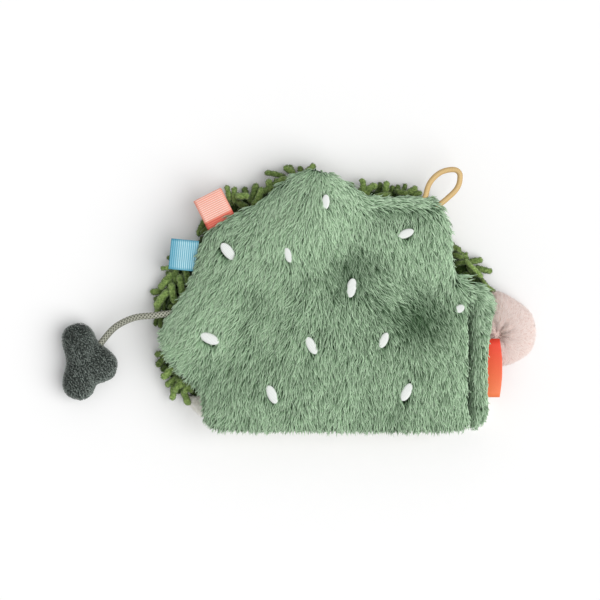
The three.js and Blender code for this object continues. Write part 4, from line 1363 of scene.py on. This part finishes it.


# Yarn that shows past the plush: root, tip, thickness, height and tone, the tone partly the yarn's own and
# partly painted shade, darker on the lower lengths
YARN = [
    (-155.5, 18.2, -162, 17.2, 2.6, 6.6, 0.85), (-154.4, 22.9, -158.9, 22.6, 2.3, 3, 0.35),
    (-153.4, 16.6, -159.4, 14.3, 2.9, 3, 0.45), (-156, 14.6, -162.8, 6.2, 4.2, 6.6, 0.9),
    (-154.4, 16.6, -153.4, 8.8, 4.2, 6.6, 0.6), (-149.2, 17.2, -147.9, 8.1, 3.9, 10, 0.6),
    (-152.1, 12.5, -150.8, 2.6, 4.2, 10, 0.9), (-156.3, 8.3, -154.4, -1.3, 4.2, 10, 0.95),
    (-161.2, 6, -167.4, 4.7, 3.6, 3, 0.8), (-158.3, 4.9, -164.6, -3.9, 4.4, 10, 1),
    (-161.7, 2.6, -165.6, 0.5, 2.9, 3, 0.4), (-156, 10.4, -158.1, 6.8, 3.1, 6.6, 0.5),
    (-152.9, -1.6, -157.8, -3.6, 3.6, 6.6, 0.5), (-159.1, 0.5, -160.2, -5.2, 3.4, 3, 0.25),
    (-149.8, 4.7, -152.9, 0.5, 3.1, 6.6, 0.25), (-163.3, -2.1, -164.6, -9.4, 3.4, 3, 0.7),
    (-161.7, -7.8, -162.5, -14, 2.9, 3, 0.55), (-159.1, -8.3, -160.4, -13.8, 2.6, 3, 0.35),
    (-156.5, -7.8, -158.9, -13.5, 2.9, 6.6, 0.5), (-163.8, -8.3, -165.1, -13, 2.6, 3, 0.3),
    (-159.6, -27.8, -165.1, -28.1, 3.6, 3, 0.6), (-159.6, -29.6, -164.1, -34.3, 3.9, 3, 0.5),
    (-149.8, -42.6, -155, -47.3, 4.2, 10, 0.85), (-145.1, -43.2, -149.8, -47.8, 3.9, 10, 0.9),
    (-157.5, -33, -161.8, -36.5, 3.6, 3, 0.25), (-152, -44, -153.6, -48.5, 3.4, 3, 0.25),
    (-155.5, -34.6, -161.2, -40.6, 4.2, 10, 1), (-152.4, -39.5, -159.4, -44.5, 3.6, 6.6, 0.85),
    (-152.9, -41.1, -149.8, -45.2, 3.6, 10, 0.8), (-155.5, -43.2, -156, -52, 3.6, 6.6, 0.95),
    (-150.8, -42.6, -147.2, -54.6, 3.9, 6.6, 0.9), (-147.7, -42.6, -145.6, -47.8, 3.4, 10, 0.65),
    (-143, -44.7, -143.5, -50.4, 3.1, 3, 0.2), (-153.9, -36.9, -153.4, -41.6, 3.1, 6.6, 0.35),
    (-138.3, 43.7, -142.5, 34.3, 3.4, 3, 0.55), (-136.2, 39, -140.9, 35.4, 3.1, 6.6, 0.35),
    (-125.8, 53, -127.4, 60.6, 3.1, 6.6, 0.75), (-123, 52, -123.2, 59.8, 3.4, 6.6, 0.65),
    (-116.5, 54.1, -118.3, 59.8, 3.6, 3, 0.4), (-121.7, 54.9, -115.4, 55.1, 3.9, 10, 0.95),
    (-113.9, 52.5, -111.8, 61.6, 4.2, 6.6, 0.55), (-113.1, 50.4, -108.7, 59.5, 3.9, 10, 0.85),
    (-104, 57.2, -105.6, 63.7, 4.0, 10, 0.8), (-108.5, 56.5, -103.4, 62, 3.6, 10, 0.6),
    (-103, 60.6, -97.4, 64.8, 3.6, 10, 0.7), (-101, 57.5, -96, 62.4, 3.4, 6.6, 0.4),
    (-97.8, 65.3, -107.4, 67.3, 3.1, 6.6, 0.55),
    (-104, 59.3, -99.8, 62.9, 3.4, 6.6, 0.4), (-101.4, 62.9, -95.2, 64.5, 3.1, 10, 0.7),
    (-93.1, 67.6, -97.2, 70.5, 3.6, 6.6, 0.75), (-94.6, 70.7, -91.8, 66, 3.4, 3, 0.4),
    (-87.9, 67.6, -89.2, 70.5, 3.4, 3, 0.45), (-85.6, 67.4, -81.2, 71.6, 3.6, 6.6, 0.7),
    (-124.8, 52, -121.7, 47.3, 3.4, 3, 0.35),
    (-121.2, 52, -116, 48.9, 3.9, 6.6, 0.5), (-115.4, 53, -111.3, 49.9, 3.4, 6.6, 0.6),
    (-61.4, 58.8, -61.6, 61.9, 2.9, 3, 0.5), (-56.4, 55.6, -56.4, 64.2, 3.6, 6.6, 0.75),
    (-53.8, 58, -48.6, 60.8, 4.2, 6.6, 0.85), (-47.8, 57.7, -46.5, 62.1, 3.4, 3, 0.3),
    (-44.2, 56.7, -43.2, 62.7, 3.9, 6.6, 0.85), (-38.5, 57.7, -37.2, 60.8, 2.9, 3, 0.4),
    (-34.8, 58.2, -33.5, 61.4, 2.6, 3, 0.55), (-31.7, 57.2, -27.6, 59.8, 3.6, 6.6, 0.75),
    (-56.9, 55.6, -52.5, 56.7, 3.6, 6.6, 0.75), (-48.9, 54.6, -42.1, 55.6, 3.6, 10, 0.65),
    (-38.5, 57.5, -31.7, 55.9, 3.4, 6.6, 0.5), (-30.7, 55.6, -25, 56.9, 2.9, 6.6, 0.6),
    (-41, 57, -40, 60.3, 3.4, 3, 0.4), (-52, 54, -47, 57.5, 3.6, 3, 0.14),
    (-43.5, 53, -40, 57.5, 3.8, 3, 0.16),
    (-46, 54.5, -41, 56, 3.4, 6.6, 0.5), (-57, 58, -52.5, 55.6, 3.4, 6.6, 0.7),
    (-39, 55, -35, 57.6, 3.4, 3, 0.2),
    (-22.4, 53, -18.5, 54.3, 2.6, 3, 0.7), (-6, 26, -9.2, 30.9, 2.6, 3, 0.3),
    (-8.6, 28.4, -4.6, 26.2, 3.2, 6.6, 0.5),
    (-7.8, 26, -0.5, 21.6, 3.4, 3, 0.6), (-4.2, 23.4, -1, 25.2, 2.1, 3, 0.45),
    (-1.2, 19.7, 7.0, 21.6, 3.5, 3, 0.65), (3.6, 17.3, 12, 15.5, 3.4, 3, 0.7),
    (-0.5, 17.8, 4.4, 13, 3.5, 6.6, 0.65), (-1.6, 20.6, 6.6, 12.2, 2.9, 10, 1.05),
    (6.2, 11.8, 13.6, 4.6, 2.3, 6.6, 0.6), (9.4, 6.4, 13.5, 4.2, 2.6, 3, 0.4),
    (-8, 24.4, -3.2, 22.6, 3.4, 6.6, 0.35), (-6.6, 20.2, -1.6, 20.6, 3.2, 6.6, 0.35),
    (-6.2, 21.8, -2.6, 16.1, 3.6, 3, 0.3), (-3.6, 21.3, 0, 17.2, 3.4, 3, 0.35),
]

# Rows of noodles under it along the rim: spacing, height, tilt, length, reach past the edge, and tone, kept
# dark as painted shade under the plush
NOODLE_ROWS = [
    (3.6, 2.2, (-3, 4), (7.5, 10), (-6.5, -4.5), 0.2),
    (4.0, 5.4, (-10, 2), (6, 8), (-9.5, -7.0), 0.14),
]


def yarn_past_plush(chance):
    """The lengths of yarn in the table, each bowed a little to one side."""
    for x, y, to_x, to_y, thick, height, tone in YARN:
        root, tip = np.array([x, y]), np.array([to_x, to_y])
        run = tip - root
        side = left_of(run) * chance.uniform(-0.08, 0.08)
        yield [
            (*(root - 0.06 * run), max(height - 5, 1.6)), (*(root + 0.14 * run + 0.4 * side), height - 0.6),
            (*(root + 0.5 * run + side), height + 0.3), (*(root + 0.82 * run + 0.5 * side), height),
            (*tip, height - 0.5)], 0.475 * thick, tone


def yarn_rows(chance):
    """Yarn in rows round the rim, left out at the fleece and the bobble, and the upper row near the plush."""
    for spacing, height, rise, lengths, short, tone in NOODLE_ROWS:
        line = even_ring(front_line, spacing)[:-1]
        line = line + chance.uniform(-0.8, 0.8, line.shape)
        room, _ = from_edge(cover_line, line)
        for spot, gap, out in zip(line, room, way_out(line)):
            if spot[1] < -50 or (spot[0] > 0 and spot[1] < 6) or (height > 5 and gap < 7):
                continue
            direction = turned(out[None], chance.normal(0, 0.5))[0]
            past = chance.uniform(*short) + np.interp(spot[1], [-45, -20, 30, 45], [3.5, 1.5, 1.5, 0])
            tip = spot + out * past
            length = chance.uniform(*lengths)
            root = tip - direction * length
            climb = length * math.tan(math.radians(chance.uniform(*rise)))
            low = height + chance.uniform(-0.4, 0.6)
            yield ([(*root, low), (*((root + tip) / 2), low + climb / 2 + 0.3), (*tip, low + climb)],
                   chance.uniform(1.5, 1.9), tone + chance.normal(0, 0.1))


def yarn_underneath(chance):
    """Short flat lengths of yarn, spread over the face that the book lies on."""
    spots = np.array([[x, y] for x in np.arange(-160, 8, 5.2) for y in np.arange(-46, 66, 5.2)])
    spots = spots + chance.uniform(-1.5, 1.5, spots.shape)
    room, _ = from_edge(front_line, spots)
    for spot in spots[room < -6]:
        reach = heading(chance.uniform(0, 2 * math.pi)) * chance.uniform(3.5, 5)
        yield [(*place, 0.9) for place in (spot - reach, spot, spot + reach)], 2.2, 0.5


def make_front_cover():
    ground = copy_of("front_chenille", "front_chenille_ground")
    points = points_of(ground) / MM
    gap, out = from_edge(front_line, points[:, :2])
    low = points[:, 2] < 6
    drawn_in = np.interp(points[:, 1], [-45, -20, 30, 45], [1.5, 2.8, 3.2, 3.5])
    drawn_in *= np.interp(points[:, 0], [-70, -55, -20, -10], [1, 0.6, 0.6, 1])
    points[:, :2] -= out * (np.clip(gap + drawn_in, 0, None) * low)[:, None]
    points[:, 2] = np.maximum(points[:, 2], 1.0)
    set_points(ground, points * MM)
    fleece = copy_of("front_fleece", "front_fleece_nap")
    for piece, finish, slot, node in ((ground, olive_ground, "olive_chenille", "front_chenille"),
                                      (fleece, cream_fleece, "cream_fleece", "front_fleece")):
        plump(piece, voxel=2.5, pressure=2, cap=0.5, held=lambda p: p[:, 2] > 5.2)
        rest_on_floor(piece)
        finish_piece(piece, "front_cover", finish, slot, [node])

    chance = np.random.default_rng(101)
    yarn = lay_noodles("front_chenille_yarn", list(yarn_past_plush(chance)), full_noodles, seed=102)
    lay_noodles("front_chenille_rim", list(yarn_rows(chance)), plain_noodles, seed=103)
    lay_noodles("front_chenille_underside", list(yarn_underneath(chance)), plain_noodles, seed=104, flat=0.4)

    # Short fuzz on the yarn, in the tone of the nearest point of it, painted light and shade included
    spots, ups = scatter_on(yarn, spacing=0.85, keep=lambda p, n: n[:, 2] > -0.5, seed=105)
    count = len(spots)
    lean = lay_along(ups, chance.normal(0, 1, (count, 3)))
    tones = read(yarn.data.attributes["tone"].data, "value", 1, np.float32)[:, 0]
    tree = KDTree(len(tones))
    for number, point in enumerate(points_of(yarn) / MM):
        tree.insert(point, number)
    tree.balance()
    own = np.array([tones[tree.find(spot)[1]] for spot in spots])
    fuzz = plant("front_chenille_fuzz", single_tuft, spots, ups, lean, chance.uniform(0.4, 0.7, count),
                 np.full(count, 0.4), chance.uniform(0.25, 0.45, count),
                 own + chance.normal(0, 0.12, count), seed=106)
    finish_piece(fuzz, "front_cover", olive_fuzz, "olive_chenille")


def topstitch(name, body, outline, heights):
    """A row of short stitches along an outline, one modelled and the rest copied, at each height."""
    model = new_shape(bpy.ops.mesh.primitive_ico_sphere_add, "stitch", subdivisions=1, radius=0.5)
    shape = points_of(model) * np.array([2.3, 0.55, 0.5])
    faces = faces_of(model)
    bpy.data.objects.remove(model)
    line = even_ring(outline, 3.1)
    all_points, all_faces = [], []
    for height in heights:
        for place, way in zip(line, unit(np.diff(line, axis=0))):
            flat = place + shape[:, :1] * way + shape[:, 1:2] * left_of(way)
            all_faces.append(faces + len(all_points) * len(shape))
            all_points.append(np.column_stack([flat, height + shape[:, 2]]))
    points = np.vstack(all_points)
    piece = mesh_piece(name, points * MM, np.vstack(all_faces), tone=np.full(len(points), 0.7))
    finish_piece(piece, body, stitch_cream, "thread")


# How far the topstitching lies in from a page's edge, and how deep it is drawn into the cloth
STITCH_INSET = 4
STITCH_DEPTH = 0.42


def make_page(name, body, levels, inset, lower, upper, nodes, lower_side_shows=True):
    """A padded page: two cloths sewn round a wadding, flat in the middle and thin at the seam."""
    low, high = levels
    outline = offset(cover_line, -inset)
    middle = (low + high) / 2
    pad = cushion(name, outline, [
        (0.7, low + 0.1), (0.94, low + 0.3), (0.985, low + 0.9), (1.0, middle - 0.2), (1.0, middle + 0.2),
        (0.985, high - 0.9), (0.94, high - 0.3), (0.7, high - 0.1)])
    plump(pad, voxel=2.5, pressure=2, cap=0.25, held=lambda p: np.abs(p[:, 2] - middle) < 0.8)
    finish_piece(pad, body, lower, "page_cotton", nodes)
    pad.data.materials.append(upper)
    for face in pad.data.polygons:
        face.material_index = int(face.center.z > middle * MM)
    heights = [low + STITCH_DEPTH] if lower_side_shows else []
    heights.append(high - STITCH_DEPTH)
    topstitch(f"{name}_topstitch", body, offset(outline, -STITCH_INSET), heights)


def make_pages():
    make_page("front_lining_pad", "front_cover", LINING_LEVELS, 1.0, page_cream, page_sage, ["front_lining"],
              lower_side_shows=False)
    for body, levels, lower, upper in (("leaf_1", LEAF_1_LEVELS, page_cream, page_sky),
                                       ("leaf_2", LEAF_2_LEVELS, page_blush, page_cream)):
        make_page(f"{body}_pad", body, levels, 2.5, lower, upper,
                  [f"{body}_lower_cloth", f"{body}_upper_cloth"])
    outline = offset(cover_line, -1)
    lining = cushion("back_lining_sheet", outline, [(0.995, 17.9), (1.0, 18.1), (1.0, 18.5), (0.995, 18.7)])
    smooth(lining)
    finish_piece(lining, "back_cover", page_sage, "page_cotton", ["back_lining"])
    x, y = outline[:, 0], outline[:, 1]
    area = abs(np.sum(x * np.roll(y, -1) - y * np.roll(x, -1))) / 2
    topstitch("back_lining_topstitch", "back_cover", offset(outline, -STITCH_INSET), [17.85])


# Middle of the crease, the top of the hinge tapes, and the binding thread's level and its swing up and down
CREASE_MIDDLE = -26.1
TAPE_TOP = 22.6
THREAD_LEVEL = 22.2
THREAD_SWING = 1.2


def make_binding():
    def to_place(across, y, z):
        return np.column_stack([across, CREASE_MIDDLE + y, z])

    def web(run, across):
        rib = wave(run, 1.2)
        return 0.04 * rib, 0.5 + 0.4 * rib
    for number, foot in ((1, 10.2), (2, 14.5)):
        leaf = f"leaf_{number}"
        x = -0.35 - 0.8 * number + 0.25
        path = [(-4.6, foot + 0.25), (x - 0.8, foot + 0.25), (x - 0.25, foot + 0.45), (x, foot + 1.0),
                (x, TAPE_TOP)]
        tape, length = strip(f"{leaf}_hinge_web", path, TAPE_LENGTH, spacing=0.3, thickness=0.4,
                             relief=web, to_place=to_place)
        finish_piece(tape, leaf, tape_web, "page_cotton", [f"{leaf}_hinge_tape"])
    margin = offset(spine_line, -2.3)
    margin = margin[margin[:, 0] > 2.9]
    for name, (low, high) in (("front", (5.3, 9.0)), ("leaf_1", LEAF_1_LEVELS), ("leaf_2", LEAF_2_LEVELS)):
        pad = cushion(f"{name}_margin_pad", margin, [
            (0.93, low), (1.0, low + 0.5), (1.0, high - 0.5), (0.93, high)])
        smooth(pad)
        finish_piece(pad, "front_cover", page_cream, "page_cotton", [f"{name}_bound_margin"])

    # The thread goes up and down by turns along the crease
    stitches = [(0.0, y, THREAD_LEVEL + (THREAD_SWING if number % 2 else -THREAD_SWING))
                for number, y in enumerate(np.arange(-59.2, 7.1, 3.0))]

    def twist(run, angles):
        ply = np.cos(3 * angles + 2 * math.pi * run / 1.6)
        return 0.05 * ply, 0.5 + 0.5 * ply
    thread, _ = tube("binding_thread_twisted", stitches, radius=0.32, sides=9, spacing=0.4, relief=twist)
    finish_piece(thread, "front_cover", stitch_sage, "thread", ["binding_thread"])


def dress_hidden_pieces():
    for node in ("front_wadding", "leaf_1_wadding", "leaf_2_wadding", "back_wadding", "charm_stuffing",
                 "bobble_stuffing"):
        dress(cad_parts[node], wadding_fibre)
    dress(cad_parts["back_crinkle_film"], crinkle_film)


make_cords()
cover_pad = make_back_cover()
make_spine()
make_grains(cover_pad)
make_ribbon("blue_tab", hinge=(-143.377, 23.412), out=(-0.99553, 0.09448), reach=14.3, finish=blue_ribbon,
            slot="blue_grosgrain", seam_shade=0.1, fold_shade=0.45)
make_ribbon("coral_tab", hinge=(-129.784, 40.534), out=(-0.45001, 0.89302), reach=17.6, finish=coral_ribbon,
            slot="coral_grosgrain", seam_shade=0.8, fold_shade=0.12)
make_label()
make_charm()
make_bobble()
make_front_cover()
make_pages()
make_binding()
dress_hidden_pieces()
